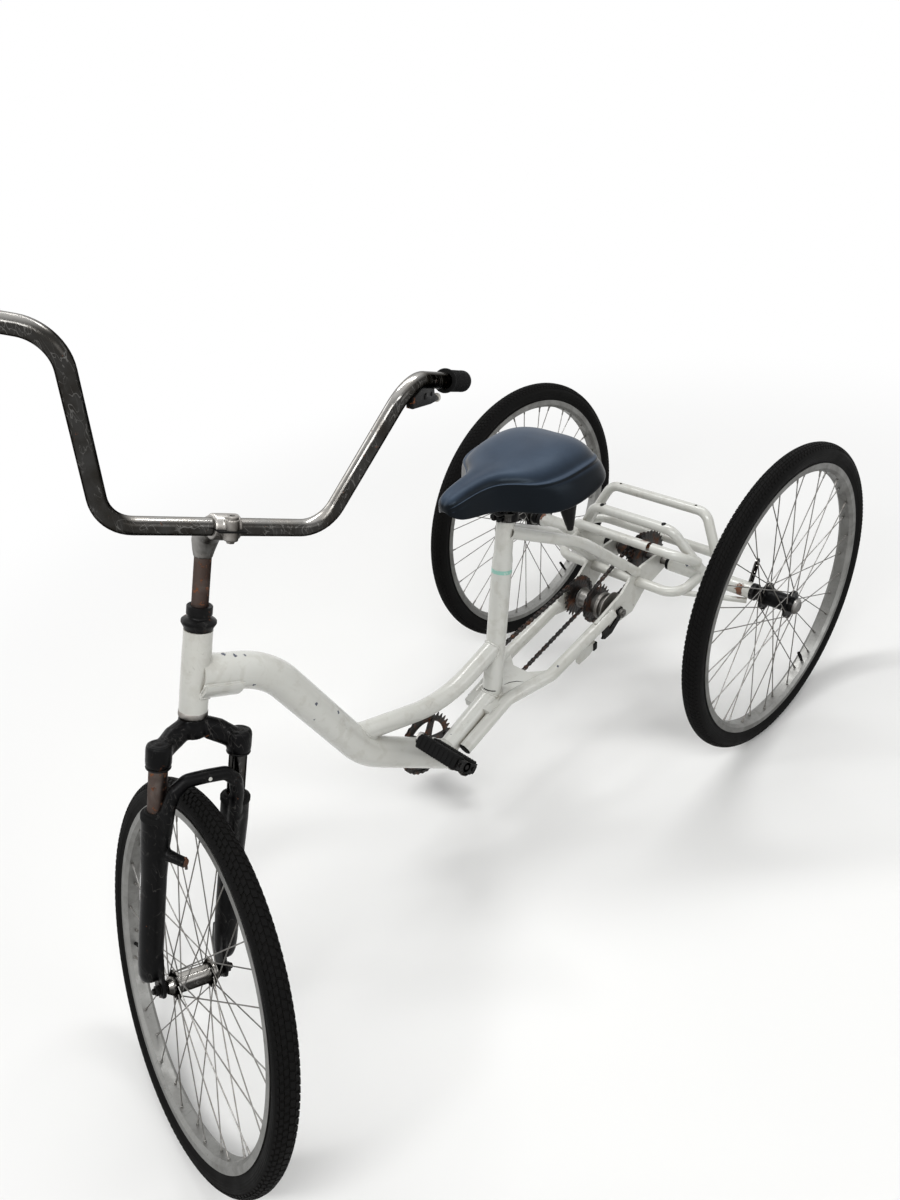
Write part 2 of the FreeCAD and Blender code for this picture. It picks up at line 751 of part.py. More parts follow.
def fender_tabs():
    tabs = []
    tilt = Rotation(X_AXIS, 32)
    for side, sign in SIDES:
        tag = "FenderTab_" + side
        strip = plate(tag + "_strip", (
            ("-9", "0"), ("9", "0"), ("9", "52"), ("4", "58"), ("-4", "58"), ("-9", "52"),
        ), "3", Placement(Vector(274 * sign, 8, AXLE.z + 8),
                          tilt.inverted() * Rotation(Y_AXIS, Z_AXIS, X_AXIS, "ZXY")),
            (("0", "44", "3.2"), ("0", "30", "3.2")))
        tabs.append(less(tag, strip, housing_cutter(tag + "_at_housing", sign)))
    keep("fender_tabs", grouped("FenderTabs", *tabs))


def stay_yoke():
    """The web at the seat tube's foot, between the two chainstays."""
    flat = plate("StayYoke_plate", (
        ("-57", "-388"), ("-44", "-404"), ("-20", "-424"), ("20", "-424"), ("44", "-404"),
        ("57", "-388"), ("34", "-560"), ("-34", "-560"),
    ), "16", Placement(Vector(0, 0, size("seat_foot_z - 5")), Rotation()))
    stays = [sweep("YokeAtStay_" + side,
                   path_of(f"YokeAtStay_{side}_path", chainstay_points(sign), 50),
                   "stay_radius + seat_gap") for side, sign in SIDES]
    link = sweep("YokeAtLink", path_of("YokeAtLink_path", lower_link_points(), 120),
                 "seat_tube_radius + seat_gap")
    keep("stay_yoke", less("StayYoke", flat, seat_cutter("YokeAtSeat"), link, *stays))


# ---------------------------------------------------------------------------
# Seat post, saddle and its frame
# ---------------------------------------------------------------------------
def seat_post():
    post = rod("Post", SEAT_FOOT + SEAT_UP * (size("seat_tube_step") - 30),
               SEAT_FOOT + SEAT_UP * size("seat_tube_length + clamp_height + 2"), "post_radius")
    collar = turned("PostCollar", (
        ("post_radius + seat_gap", "seat_tube_length + seat_gap"),
        ("seat_tube_top_radius + 4", "seat_tube_length + seat_gap"),
        ("seat_tube_top_radius + 4", "seat_tube_length + 16"),
        ("post_radius + seat_gap", "seat_tube_length + 16"),
    ), Placement(SEAT_FOOT, SEAT_TURN))
    keep("seat_post", grouped("SeatPost", post, collar))


def saddle_side(tag, drop):
    """The pad seen from the side: a thin raised nose, a low rim and a crowned tail."""
    low = "saddle_low"
    high = "saddle_low + saddle_height"
    front = "saddle_front"
    back = "saddle_front + saddle_length"
    upright = Rotation(Y_AXIS, Z_AXIS, X_AXIS, "ZXY")
    return plate(tag, (
        (front, f"{low} + 54"), (f"{front} + 60", f"{low} + 46"), (f"{front} + 118", f"{low} + 12"),
        (f"{front} + 170", low), (f"{back} - 24", low), (f"{back} - 4", f"{low} + 12"),
        (back, f"{high} - 44"), (f"{back} - 22", f"{high} - 12"), (f"{back} - 90", high),
        (f"{front} + 150", f"{high} - 6"), (f"{front} + 60", f"{high} - 4"),
        (f"{front} + 12", f"{high} - 14"), (front, f"{high} - 26"),
    ), "saddle_width + 2", Placement(Vector(0, 0, -drop), upright))


def saddle():
    """The pad: its plan, with a nose and two round lobes, through its side view."""
    half = "saddle_width / 2"
    front = "saddle_front"
    back = "saddle_front + saddle_length"
    corners = (
        ("16", front), ("28", f"{front} + 16"), ("34", f"{front} + 70"), ("52", f"{front} + 110"),
        (f"{half} - 34", f"{front} + 150"), (f"{half} - 8", f"{front} + 188"),
        (half, f"{front} + 226"), (f"{half} - 6", f"{front} + 272"),
        (f"{half} - 44", f"{back} - 16"), ("48", back),
    )
    outline_left = list(corners)
    outline_right = [("-(" + u + ")", v) for u, v in reversed(corners)]
    middle = size("saddle_low + saddle_height / 2")
    plan = plate("SaddlePlan", tuple(outline_left + outline_right), "saddle_height + 20",
                 Placement(Vector(0, 0, middle), Rotation()))
    side = saddle_side("SaddleSide", 0)
    both = doc.addObject("Part::MultiCommon", "Saddle")
    both.Shapes = [plan, side]
    keep("saddle", both)


def saddle_frame():
    """Clamp on the post, two rails and the two rubber feet under the pad."""
    top = SEAT_FOOT + SEAT_UP * size("seat_tube_length + clamp_height")
    clamp = rod("SaddleClamp", top - X_AXIS * 24, top + X_AXIS * 24, "16")
    bore = rod("SaddleClampBore", top - SEAT_UP * 40, top + SEAT_UP * 40, "post_radius + seat_gap")
    low = size("saddle_low")
    rails = []
    feet = []
    for side, sign in SIDES:
        points = [Vector(20 * sign, -482, low + 56), Vector(20 * sign, -430, top.z),
                  Vector(20 * sign, -370, top.z), Vector(72 * sign, -300, low - 16)]
        rails.append(sweep("SaddleRail_" + side,
                           path_of(f"SaddleRail_{side}_path", points, 24), "3.5"))
        foot = turned("SaddleFoot_" + side, (
            ("0", "-97"), ("6", "-97"), ("9", "-84"), ("17", "-44"), ("21", "-12"),
            ("21", "0"), ("0", "0"),
        ), Placement(Vector(72 * sign, -300, low), Rotation()))
        feet.append(foot)
    band = less("SaddleClampBand", clamp, bore)
    fused = joined("SaddleFrame_fused", band, *rails, *feet)
    pad = saddle_side("SaddleFrameAtPad", size("seat_gap"))
    post = rod("SaddleFramePost", SEAT_TOP, SEAT_TOP + SEAT_UP * 120, "post_radius + seat_gap")
    keep("saddle_frame", less("SaddleFrame", fused, post, pad))


# ---------------------------------------------------------------------------
# Fork, stem, handlebar (modelled in the steering frame, then placed)
# ---------------------------------------------------------------------------
def local(x, forward, height):
    return Vector(x, -forward, height)


LEG_TURN = Rotation(X_AXIS, -size("leg_lean"))


def on_leg(sign, height):
    """A point of a fork leg's axis; the legs lean forwards towards the wheel's axle."""
    forward = (size("crown_low") - height) * math.tan(math.radians(size("leg_lean")))
    return local(size("fork_spread") * sign, size("fork_advance") + forward, height)


def placed(name, item):
    """Turn a sub-part that was modelled in the steering frame into place."""
    item.Placement = STEER * item.Placement
    keep(name, item)


def fork_crown():
    race = "head_low - cup_height - side_gap"
    steerer = turned("Steerer", (
        ("steerer_radius - 1.4", "head_low - 39"),
        ("24", "head_low - 39"),
        ("24", "head_low - 20"),
        ("21.5", f"{race}"),
        ("steerer_radius", f"{race}"),
        ("steerer_radius", "head_low + head_length + 36"),
        ("steerer_radius - 1.4", "head_low + head_length + 36"),
    ))
    pieces = [steerer]
    low = size("crown_low")
    bores = [rod("CrownBore", local(0, 0, low - 8), local(0, 0, size("head_low + head_length") + 60),
                 "steerer_radius - 1.4")]
    for side, sign in SIDES:
        shoulder = on_leg(sign, low + 20)
        pieces.append(rod("CrownArm_" + side, local(6 * sign, 4, low + 41), shoulder, "14"))
        pieces.append(turned("CrownCap_" + side, (
            ("0", "crown_low"), ("stanchion_radius + 3.3", "crown_low"),
            ("leg_radius", "crown_low + 5"), ("leg_radius", "crown_low + 34"),
            ("stanchion_radius + 3.3", "crown_low + 38"), ("0", "crown_low + 38"),
        ), Placement(on_leg(sign, 0), LEG_TURN)))
        bores.append(rod("CrownSocket_" + side, on_leg(sign, low - 1), on_leg(sign, low + 30),
                         "stanchion_radius + seat_gap"))
    placed("fork_crown", less("ForkCrown", joined("ForkCrown_fused", *pieces), *bores))


def fork_stanchions():
    legs = []
    for side, sign in SIDES:
        legs.append(rod("Stanchion_" + side, on_leg(sign, size("lower_top") - 112),
                        on_leg(sign, size("crown_low") + 29), "stanchion_radius"))
    placed("fork_stanchions", grouped("ForkStanchions", *legs))


def fork_lowers():
    rake = size("fork_rake")
    top = size("lower_top")
    half = size("front_hub_width / 2")
    spread = size("fork_spread")
    pieces = []
    cuts = []
    upright = Rotation(Y_AXIS * -1, Z_AXIS, X_AXIS * -1, "ZXY")
    for side, sign in SIDES:
        pieces.append(turned("ForkLeg_" + side, (
            ("0", "9"), ("stanchion_radius + 1.3", "9"), ("stanchion_radius + 4.3", "17"),
            ("stanchion_radius + 4.3", "170"), ("leg_radius", "lower_top - 70"),
            ("leg_radius", "lower_top - 10"), ("leg_radius + 1.5", "lower_top - 8"),
            ("leg_radius + 1.5", "lower_top"), ("0", "lower_top"),
        ), Placement(on_leg(sign, 0), LEG_TURN)))
        cuts.append(rod("ForkLegBore_" + side, on_leg(sign, top - 114), on_leg(sign, top + 60),
                        "stanchion_radius + seat_gap"))
        pieces.append(plate("Dropout_" + side, (
            ("20", "58"), ("20", "24"), ("46", "-13"), ("fork_rake", "-17"),
            ("fork_rake + 16", "-6"), ("fork_rake + 16", "8"), ("66", "26"), ("58", "58"),
        ), "6", Placement(Vector((half + 3) * sign, 0, 0), upright)))
        root = on_leg(sign, top - 72)
        pieces.append(rod("BrakeBoss_" + side, root - X_AXIS * 8 * sign,
                          local((spread - 29) * sign, 86, top - 80), "8"))
    cuts.append(rod("ForkAxleHole", local(-80, rake, 0), local(80, rake, 0),
                    "front_axle_radius + seat_gap"))
    ahead = size("fork_advance + stanchion_radius")
    arch = [local(spread - 6, ahead + 4.3, top - 60), local(spread - 8, ahead + 14.3, top + 60)]
    arch = arch + mirrored(reversed(arch))
    pieces.append(sweep("ForkArch", path_of("ForkArch_path", arch, 38), "10.5"))
    placed("fork_lowers", less("ForkLowers", joined("ForkLowers_fused", *pieces), *cuts))


def headset_top():
    top = "head_low + head_length + 13"
    bore = "steerer_radius + seat_gap"
    placed("headset_top", turned("HeadsetTop", (
        (bore, f"{top} + side_gap"),
        ("head_radius + 4.5", f"{top} + side_gap"),
        ("head_radius + 4", f"{top} + 3"),
        ("17", f"{top} + 8"),
        ("17", f"{top} + 11"),
        ("19.5", f"{top} + 11"),
        ("19.5", f"{top} + 25"),
        (bore, f"{top} + 25"),
    )))


def bar_point(x, forward, height):
    """A point of the handlebar, with the bar tilted and slid in its clamp."""
    middle = local(0, size("stem_reach"), size("stem_height"))
    turn = Rotation(Y_AXIS, size("bar_tilt"))
    shift = size("bar_shift")
    return middle + turn.multVec(Vector(x - shift, -forward, height))


def bar_direction(sign):
    sweep_out = math.radians(size("bar_sweep"))
    turn = Rotation(Y_AXIS, size("bar_tilt"))
    return turn.multVec(Vector(math.sin(sweep_out) * sign, math.cos(sweep_out), 0))


def bar_half(sign):
    """The handlebar from the foot of a riser to its end."""
    foot = bar_point(size("bar_foot") * sign, 0, 0)
    top = bar_point(size("bar_half_width") * sign, size("bar_lean"), size("bar_rise"))
    end = top + bar_direction(sign) * size("bar_end_length")
    return [foot, top, end]


def handlebar_points():
    return bar_half(1)[::-1] + bar_half(-1)


def stem():
    middle = bar_point(size("bar_shift"), 0, 0)
    across = (bar_half(1)[0] - bar_half(-1)[0]).normalize()
    height = size("stem_height")
    quill = rod("StemQuill", local(0, 0, size("head_low + head_length") - 20),
                local(0, 0, height - 28), "quill_radius")
    shoulder = rod("StemShoulder", local(0, 0, height - 48), local(0, 6, height - 14), "15")
    neck = rod("StemNeck", local(0, 4, height - 18), middle, "14")
    clamp = rod("StemClamp", middle - across * 21, middle + across * 21, "bar_radius + 6")
    lug = rod("StemLug", middle + local(0, 19, -16), middle + local(0, 19, 16), "8")
    bar = rod("StemBore", middle - across * 40, middle + across * 40, "bar_radius + seat_gap")
    slot = doc.addObject("Part::Box", "StemSlot")
    slot.Length = 60
    slot.Width = 40
    slot.Height = 2.5
    slot.Placement = Placement(middle + local(-30, 48, -1.25), Rotation())
    placed("stem", less("Stem", joined("Stem_fused", quill, shoulder, neck, clamp, lug),
                        bar, slot))


def handlebar():
    placed("handlebar", tube("Handlebar", handlebar_points(), size("bar_bend"),
                             "bar_radius", "bar_wall"))


def grips():
    pieces = []
    for side, sign in SIDES:
        end = bar_half(sign)[2]
        direction = bar_direction(sign)
        pieces.append(turned("Grip_" + side, (
            ("bar_radius + seat_gap", "-grip_length + 4"),
            ("grip_radius + 2", "-grip_length + 4"),
            ("grip_radius + 2", "-grip_length + 8"),
            ("grip_radius", "-grip_length + 10"),
            ("grip_radius", "2"),
            ("grip_radius - 3", "4"),
            ("0", "4"),
            ("0", "seat_gap"),
            ("bar_radius + seat_gap", "seat_gap"),
        ), Placement(end, Rotation(Z_AXIS, direction))))
    placed("grips", grouped("Grips", *pieces))


def brake_lever():
    """The bracket under the left end of the bar, with its blade and ball."""
    along = bar_direction(1)
    down = Rotation(Y_AXIS, size("bar_tilt")).multVec(Z_AXIS) * -1
    place = Placement(bar_half(1)[1], Rotation(along, down, along.cross(down), "ZXY"))
    blade = plate("LeverBlade", (
        ("lever_place - 20", "10"), ("lever_place + 28", "8"), ("lever_place + 32", "19"),
        ("lever_place + 52", "23"), ("lever_place + 58", "30"), ("lever_place + 24", "35"),
        ("lever_place - 50", "43"), ("lever_place - 50", "27"),
    ), "13", place)
    ball = doc.addObject("Part::Sphere", "LeverBall")
    ball.Radius = 6.5
    ball.Placement = Placement(place.multVec(Vector(size("lever_place") + 56, 26, 0)), Rotation())
    bar = sweep("LeverAtBar", path_of("LeverAtBar_path", handlebar_points(), size("bar_bend")),
                "bar_radius + seat_gap")
    placed("brake_lever", less("BrakeLever", joined("BrakeLever_fused", blade, ball), bar))


def front_axle():
    half = size("front_hub_width / 2")
    rake = size("fork_rake")
    pieces = [rod("FrontAxleRod", local(-half - 20, rake, 0), local(half + 20, rake, 0),
                  "front_axle_radius")]
    for side, sign in SIDES:
        turn = Placement(local(0, rake, 0), Rotation(Z_AXIS, X_AXIS * sign))
        pieces.append(turned("FrontNut_" + side, (
            ("0", "front_hub_width / 2 + 6 + seat_gap"),
            ("11", "front_hub_width / 2 + 6 + seat_gap"),
            ("11", "front_hub_width / 2 + 8"),
            ("8.5", "front_hub_width / 2 + 8"),
            ("8.5", "front_hub_width / 2 + 15"),
            ("0", "front_hub_width / 2 + 15"),
        ), turn))
        pieces.append(turned("FrontCone_" + side, (
            ("0", "front_hub_width / 2 - 5"),
            ("8", "front_hub_width / 2 - 5"),
            ("8", "front_hub_width / 2 - seat_gap"),
            ("0", "front_hub_width / 2 - seat_gap"),
        ), turn))
    placed("front_axle", joined("FrontAxle", *pieces))


# ---------------------------------------------------------------------------
# Wheels: each is turned about its own Z axis, then laid along its axle
# ---------------------------------------------------------------------------
def tyre(tag, place):
    """A tyre's section goes round its outside from bead to bead, then back round its inside."""
    ring = "wheel_radius - tyre_radius"
    bead = "rim_radius + seat_gap"
    lip = "rim_width / 2 - rim_wall"

    def arc(radius, angles):
        turns = [(math.cos(math.radians(angle)), math.sin(math.radians(angle))) for angle in angles]
        return [(f"{ring} + ({radius}) * {out:.5f}", f"({radius}) * {over:.5f}")
                for out, over in turns]

    angles = range(-125, 126, 25)
    outside = arc("tyre_radius", reversed(angles))
    inside = arc("tyre_radius - tyre_wall", angles)
    return turned(tag, ((bead, lip), *outside, (bead, f"-({lip})"),
                        (bead, f"-({lip}) + tyre_wall"), *inside, (bead, f"{lip} - tyre_wall")), place)


def rim(tag, place):
    bed = "rim_radius - rim_depth"
    edge = "rim_width / 2"
    return turned(tag, (
        ("rim_radius", edge),
        ("rim_radius", f"{edge} - rim_wall"),
        (f"{bed} + rim_wall", f"{edge} - rim_wall - 4"),
        (f"{bed} + rim_wall", f"-{edge} + rim_wall + 4"),
        ("rim_radius", f"-{edge} + rim_wall"),
        ("rim_radius", f"-{edge}"),
        (f"{bed} + 6", f"-{edge}"),
        (bed, f"-{edge} + 6"),
        (bed, f"{edge} - 6"),
        (f"{bed} + 6", edge),
    ), place)


def spokes(tag, place, flange, circle, thickness):
    """Crossed spokes from the two flanges to the rim."""
    count = int(size("spoke_count"))
    radius = size("spoke_radius")
    reach = size("rim_radius - rim_depth - seat_gap")
    side_step = size("spoke_radius") + 0.6 + thickness / 2
    lead = math.radians(62)
    rods = []
    for number in range(count):
        angle = 2 * math.pi * number / count
        side = 1 if number % 2 else -1
        lean = 1 if number % 4 < 2 else -1
        start_angle = angle + lead * lean
        start = Vector(circle * math.cos(start_angle), circle * math.sin(start_angle),
                       side * flange + lean * side_step)
        end = Vector(reach * math.cos(angle), reach * math.sin(angle), side * 4)
        rods.append(Part.makeCylinder(radius, (end - start).Length, start, end - start))
    group = doc.addObject("Part::Feature", tag)
    group.Shape = Part.makeCompound(rods)
    group.Placement = place
    return group


def rear_wheel(name, sign):
    tag = name.replace("_", " ").title().replace(" ", "")
    place = Placement(Vector(size("rear_track / 2") * sign, 0, AXLE.z),
                      Rotation(Z_AXIS, X_AXIS * sign))
    bore = "axle_radius + seat_gap" if sign > 0 else "axle_radius + running_gap"
    keep(name + "_tyre", tyre(tag + "Tyre", place))
    keep(name + "_rim", rim(tag + "Rim", place))
    keep(name + "_hub", turned(tag + "Hub", (
        (bore, "-42"), ("15", "-42"), ("17", "-34"), ("17", "-28"),
        ("29", "-28"), ("29", "-25"), ("19", "-25"), ("18", "-20"), ("18", "20"), ("19", "25"),
        ("29", "25"), ("29", "28"), ("16", "28"), ("14", "36"), (bore, "36"),
    ), place))
    keep(name + "_spokes", spokes(tag + "Spokes", place, 26.5, 26, 3))


def front_wheel():
    place = STEER * Placement(local(0, size("fork_rake"), 0), ALONG_X)
    keep("front_tyre", tyre("FrontTyre", place))
    keep("front_rim", rim("FrontRim", place))
    bore = "front_axle_radius + running_gap"
    end = "front_hub_width / 2 - 5 - side_gap"
    keep("front_hub", turned("FrontHub", (
        (bore, f"-({end})"), ("11", f"-({end})"), ("15", "-38"), ("15", "-31.5"),
        ("23", "-31.5"), ("23", "-28.5"), ("15.5", "-28.5"), ("15.5", "28.5"), ("23", "28.5"),
        ("23", "31.5"), ("15", "31.5"), ("15", "38"), ("11", end), (bore, end),
    ), place))
    keep("front_spokes", spokes("FrontSpokes", place, 30, 20, 3))


# ---------------------------------------------------------------------------
# Drive: axle and cogs, coaster hub, crankset, pedals, chains
# ---------------------------------------------------------------------------
def rear_axle():
    reach = size("rear_track / 2") + 44
    shaft = rod("RearAxle_shaft", AXLE - X_AXIS * reach, AXLE + X_AXIS * reach, "axle_radius")
    keep("rear_axle", shaft)


def root_radius(pitch):
    return f"{pitch} - chain_depth / 2 - chain_gap"


def freewheel_cluster():
    """Seven cogs on one body, the chain on the middle one."""
    steps = ((-3, 28), (-2, 32), (-1, 37), (0, None), (1, 49), (2, 54), (3, 60))
    corners = [("axle_radius + seat_gap", "output_offset - 48"), ("19", "output_offset - 48"),
               ("19", "output_offset - 26")]
    for step, radius in steps:
        reach = root_radius("cog_radius") if radius is None else str(radius)
        low = f"output_offset + {step * 7} - sprocket_thickness / 2"
        high = f"output_offset + {step * 7} + sprocket_thickness / 2"
        corners += [("22", low), (reach, low), (reach, high), ("22", high)]
    corners += [("axle_radius + seat_gap", "output_offset + 21 + sprocket_thickness / 2")]
    keep("freewheel_cluster", turned("FreewheelCluster", tuple(corners),
                                     Placement(AXLE, ALONG_X)))


def hub_shell():
    """The coaster hub's shell, with its output sprocket, collar and dust disc."""
    low = "output_offset - sprocket_thickness / 2"
    high = "output_offset + sprocket_thickness / 2"
    bore = "hub_axle_radius + running_gap"
    keep("hub_shell", turned("HubShell", (
        (bore, "-44"), ("18", "-44"), ("24", "-38"), ("24", low),
        (root_radius("output_radius"), low), (root_radius("output_radius"), high),
        ("24", high), ("24", "14"), ("31", "15"), ("31", "24"), ("24", "25"),
        ("24", "38"), ("38", "38"), ("38", "41"), ("20", "44"), (bore, "44"),
    ), Placement(HUB, ALONG_X)))


def hub_sprocket():
    low = "-ring_offset - sprocket_thickness / 2"
    high = "-ring_offset + sprocket_thickness / 2"
    bore = "hub_axle_radius + running_gap"
    root = root_radius("sprocket_radius")
    keep("hub_sprocket", turned("HubSprocket", (
        (bore, "-53"), ("16", "-53"), ("18", low), (root, low), (root, high),
        ("20", high), ("20", "-45"), (bore, "-45"),
    ), Placement(HUB, ALONG_X)))


def hub_axle():
    reach = size("plate_offset + plate_thickness / 2") + 15
    pieces = [rod("HubAxleRod", HUB - X_AXIS * reach, HUB + X_AXIS * reach, "hub_axle_radius")]
    inner = "plate_offset - plate_thickness / 2 - seat_gap"
    outer = "plate_offset + plate_thickness / 2 + seat_gap"
    for side, sign, start, gap in (("left", 1, "44 + side_gap", 4.5), ("right", -1, "53 + side_gap", 0)):
        turn = Placement(HUB, Rotation(Z_AXIS, X_AXIS * sign))
        pieces.append(turned("HubSpacer_" + side, (
            ("0", start), ("9", start), ("9", inner), ("0", inner),
        ), turn))
        pieces.append(turned("HubNut_" + side, (
            ("0", f"{outer} + {gap}"), ("10", f"{outer} + {gap}"),
            ("10", f"{outer} + {gap} + 7"), ("0", f"{outer} + {gap} + 7"),
        ), turn))
    keep("hub_axle", joined("HubAxle", *pieces))


def reaction_arm():
    """The coaster hub's arm, outside the left plate, with its clip under the stay."""
    offset = size("plate_offset + plate_thickness / 2 + seat_gap") + 2
    upright = Rotation(Y_AXIS, Z_AXIS, X_AXIS, "ZXY")
    strap = plate("ReactionStrap", (
        ("hub_y + 13", "hub_z - 8"), ("hub_y + 8", "hub_z + 11"), ("hub_y - 10", "hub_z + 11"),
        ("hub_y - 17", "hub_z - 9"), ("-206", "hub_z - 20"), ("-224", "hub_z - 21"),
        ("-234", "hub_z - 28"), ("-224", "hub_z - 35"), ("-200", "hub_z - 34"),
        ("hub_y - 6", "hub_z - 18"),
    ), "4", Placement(Vector(offset, 0, 0), upright),
        (("hub_y", "hub_z", "hub_axle_radius + seat_gap"),))
    stay = sweep("ReactionAtStay", path_of("ReactionAtStay_path", chainstay_points(1), 50),
                 "stay_radius + seat_gap")
    corner, rear = chainstay_points(1)[2:]
    seat = corner + (rear - corner) * (176 / (rear.y - corner.y))
    clip = doc.addObject("Part::Box", "ReactionClip")
    clip.Length = 8
    clip.Width = 18
    clip.Height = 22
    clip.Placement = Placement(Vector(offset - 2, seat.y - 9, seat.z - 30), Rotation())
    keep("reaction_arm", less("ReactionArm", joined("ReactionArm_fused", strap, clip), stay))


def crank_point(sign):
    angle = math.radians(size("crank_angle"))
    reach = size("crank_length")
    return BOTTOM + Vector(size("crank_offset") * sign, -math.cos(angle) * reach * sign,
                           math.sin(angle) * reach * sign)


def crankset():
    offset = size("crank_offset")
    spindle = rod("CrankSpindle", BOTTOM - X_AXIS * offset, BOTTOM + X_AXIS * offset,
                  "spindle_radius")
    pieces = [spindle]
    turn = Rotation(X_AXIS, -size("crank_angle"))
    upright = Rotation(Y_AXIS, Z_AXIS, X_AXIS, "ZXY")
    for side, sign in SIDES:
        start = BOTTOM + X_AXIS * offset * sign
        end = crank_point(sign)
        half = X_AXIS * size("crank_thickness / 2") * sign
        pieces.append(rod("CrankBoss_" + side, start - half, start + half * 1.3, "17"))
        pieces.append(rod("CrankEye_" + side, end - half, end + half, "13"))
        arm = plate("CrankArm_" + side, (
            ("0", "14"), ("0", "-14"), ("-crank_length", "-10"), ("-crank_length", "10"),
        ), "crank_thickness - 2", Placement(start, turn * Rotation(X_AXIS, 0 if sign > 0 else 180)
                                            * upright))
        pieces.append(arm)
    bores = [rod("PedalThread_" + side, crank_point(sign) - X_AXIS * 20,
                 crank_point(sign) + X_AXIS * 20, "pedal_spindle_radius + seat_gap")
             for side, sign in SIDES]
    keep("crankset", less("Crankset", joined("Crankset_fused", *pieces), *bores))


def chainring():
    low = "-ring_offset - sprocket_thickness / 2"
    high = "-ring_offset + sprocket_thickness / 2"
    root = root_radius("ring_radius")
    disc = turned("Chainring_disc", (
        ("spindle_radius + seat_gap", "-crank_offset + crank_thickness / 2 + seat_gap"),
        ("15", "-crank_offset + crank_thickness / 2 + seat_gap"),
        ("15", low), (root, low), (root, high), ("15", high), ("15", "-44"),
        ("spindle_radius + seat_gap", "-44"),
    ), Placement(BOTTOM, ALONG_X))
    windows = []
    for number in range(5):
        angle = math.radians(72 * number + 24)
        centre = BOTTOM + Vector(0, math.cos(angle), math.sin(angle)) * size("ring_radius * 0.56")
        windows.append(rod(f"Window_{number}", centre - X_AXIS * 60, centre - X_AXIS * 40,
                           "ring_radius * 0.2"))
    keep("chainring", less("Chainring", disc, *windows))


def pedal_spindles():
    pieces = []
    inner = "crank_thickness / 2 + seat_gap"
    for side, sign in SIDES:
        pieces.append(turned("PedalSpindle_" + side, (
            ("0", "-crank_thickness / 2 - 2"), ("pedal_spindle_radius", "-crank_thickness / 2 - 2"),
            ("pedal_spindle_radius", inner), ("8", inner), ("8", f"{inner} + 3"),
            ("pedal_spindle_radius", f"{inner} + 3"),
            ("pedal_spindle_radius", f"{inner} + 4 + pedal_length - 6"),
            ("0", f"{inner} + 4 + pedal_length - 6"),
        ), Placement(crank_point(sign), Rotation(Z_AXIS, X_AXIS * sign))))
    keep("pedal_spindles", grouped("PedalSpindles", *pieces))


def pedal(name, sign):
    """Two rubber blocks on a barrel, between end plates."""
    tag = name.title().replace("_", "")
    start = size("crank_thickness / 2 + seat_gap") + 3 + size("side_gap")
    middle = start + size("pedal_length") / 2
    upright = Rotation(Y_AXIS, Z_AXIS, X_AXIS, "ZXY")
    turn = Rotation(X_AXIS, size("pedal_angle")) * upright
    centre = crank_point(sign) + X_AXIS * middle * sign
    half = "pedal_width / 2"
    thick = "pedal_thickness / 2"
    blocks = []
    for edge, near, far in (("front", "-9", f"-{half}"), ("back", "9", half)):
        blocks.append(plate(f"{tag}_{edge}", (
            (near, f"-{thick}"), (far, f"-{thick}"), (far, thick), (near, thick),
        ), "pedal_length - 6", Placement(centre, turn)))
    for end, shift in (("inner", -1), ("outer", 1)):
        place = Placement(centre + X_AXIS * shift * size("pedal_length / 2 - 2"), turn)
        blocks.append(plate(f"{tag}_{end}", (
            (f"-{half} + 3", "-9"), (f"{half} - 3", "-9"), (f"{half} - 3", "9"), (f"-{half} + 3", "9"),
        ), "4", place))
    barrel = rod(tag + "_barrel", centre - X_AXIS * size("pedal_length / 2"),
                 centre + X_AXIS * size("pedal_length / 2"), "9.5")
    bore_end = centre + X_AXIS * sign * (size("pedal_length / 2") - 3)
    bore = rod(tag + "_bore", centre - X_AXIS * sign * 80, bore_end,
               "pedal_spindle_radius + running_gap")
    keep(name, less(tag, joined(tag + "_fused", barrel, *blocks), bore))


def loop_wire(first, first_radius, second, second_radius):
    """The closed belt line round two circles in one YZ plane."""
    gap = second - first
    base = math.atan2(gap.z, gap.y)
    open_angle = math.acos((first_radius - second_radius) / gap.Length)

    def at(centre, radius, angle):
        return centre + Vector(0, math.cos(angle), math.sin(angle)) * radius

    upper = base + open_angle
    lower = base - open_angle
    edges = [
        Part.LineSegment(at(first, first_radius, upper), at(second, second_radius, upper)),
        Part.Arc(at(second, second_radius, upper), at(second, second_radius, base),
                 at(second, second_radius, lower)),
        Part.LineSegment(at(second, second_radius, lower), at(first, first_radius, lower)),
        Part.Arc(at(first, first_radius, lower), at(first, first_radius, base + math.pi),
                 at(first, first_radius, upper)),
    ]
    return Part.Wire([edge.toShape() for edge in edges])


def chain(name, first, first_pitch, second, second_pitch, place):
    """One closed loop round two sprockets."""
    half = size("chain_depth / 2")
    start = X_AXIS * (place - size("chain_width / 2"))
    slabs = []
    for side in (1, -1):
        wire = loop_wire(first + start, size(first_pitch) + side * half,
                         second + start, size(second_pitch) + side * half)
        slabs.append(Part.Face(wire).extrude(X_AXIS * size("chain_width")))
    loop = doc.addObject("Part::Feature", name.title().replace("_", ""))
    loop.Shape = slabs[0].cut(slabs[1])
    keep(name, loop)


def chains():
    chain("primary_chain", BOTTOM, "ring_radius", HUB, "sprocket_radius", -size("ring_offset"))
    chain("secondary_chain", HUB, "output_radius", AXLE, "cog_radius", size("output_offset"))


def rear_wheels():
    rear_wheel("rear_left", 1)
    rear_wheel("rear_right", -1)


def pedals():
    pedal("left_pedal", 1)
    pedal("right_pedal", -1)


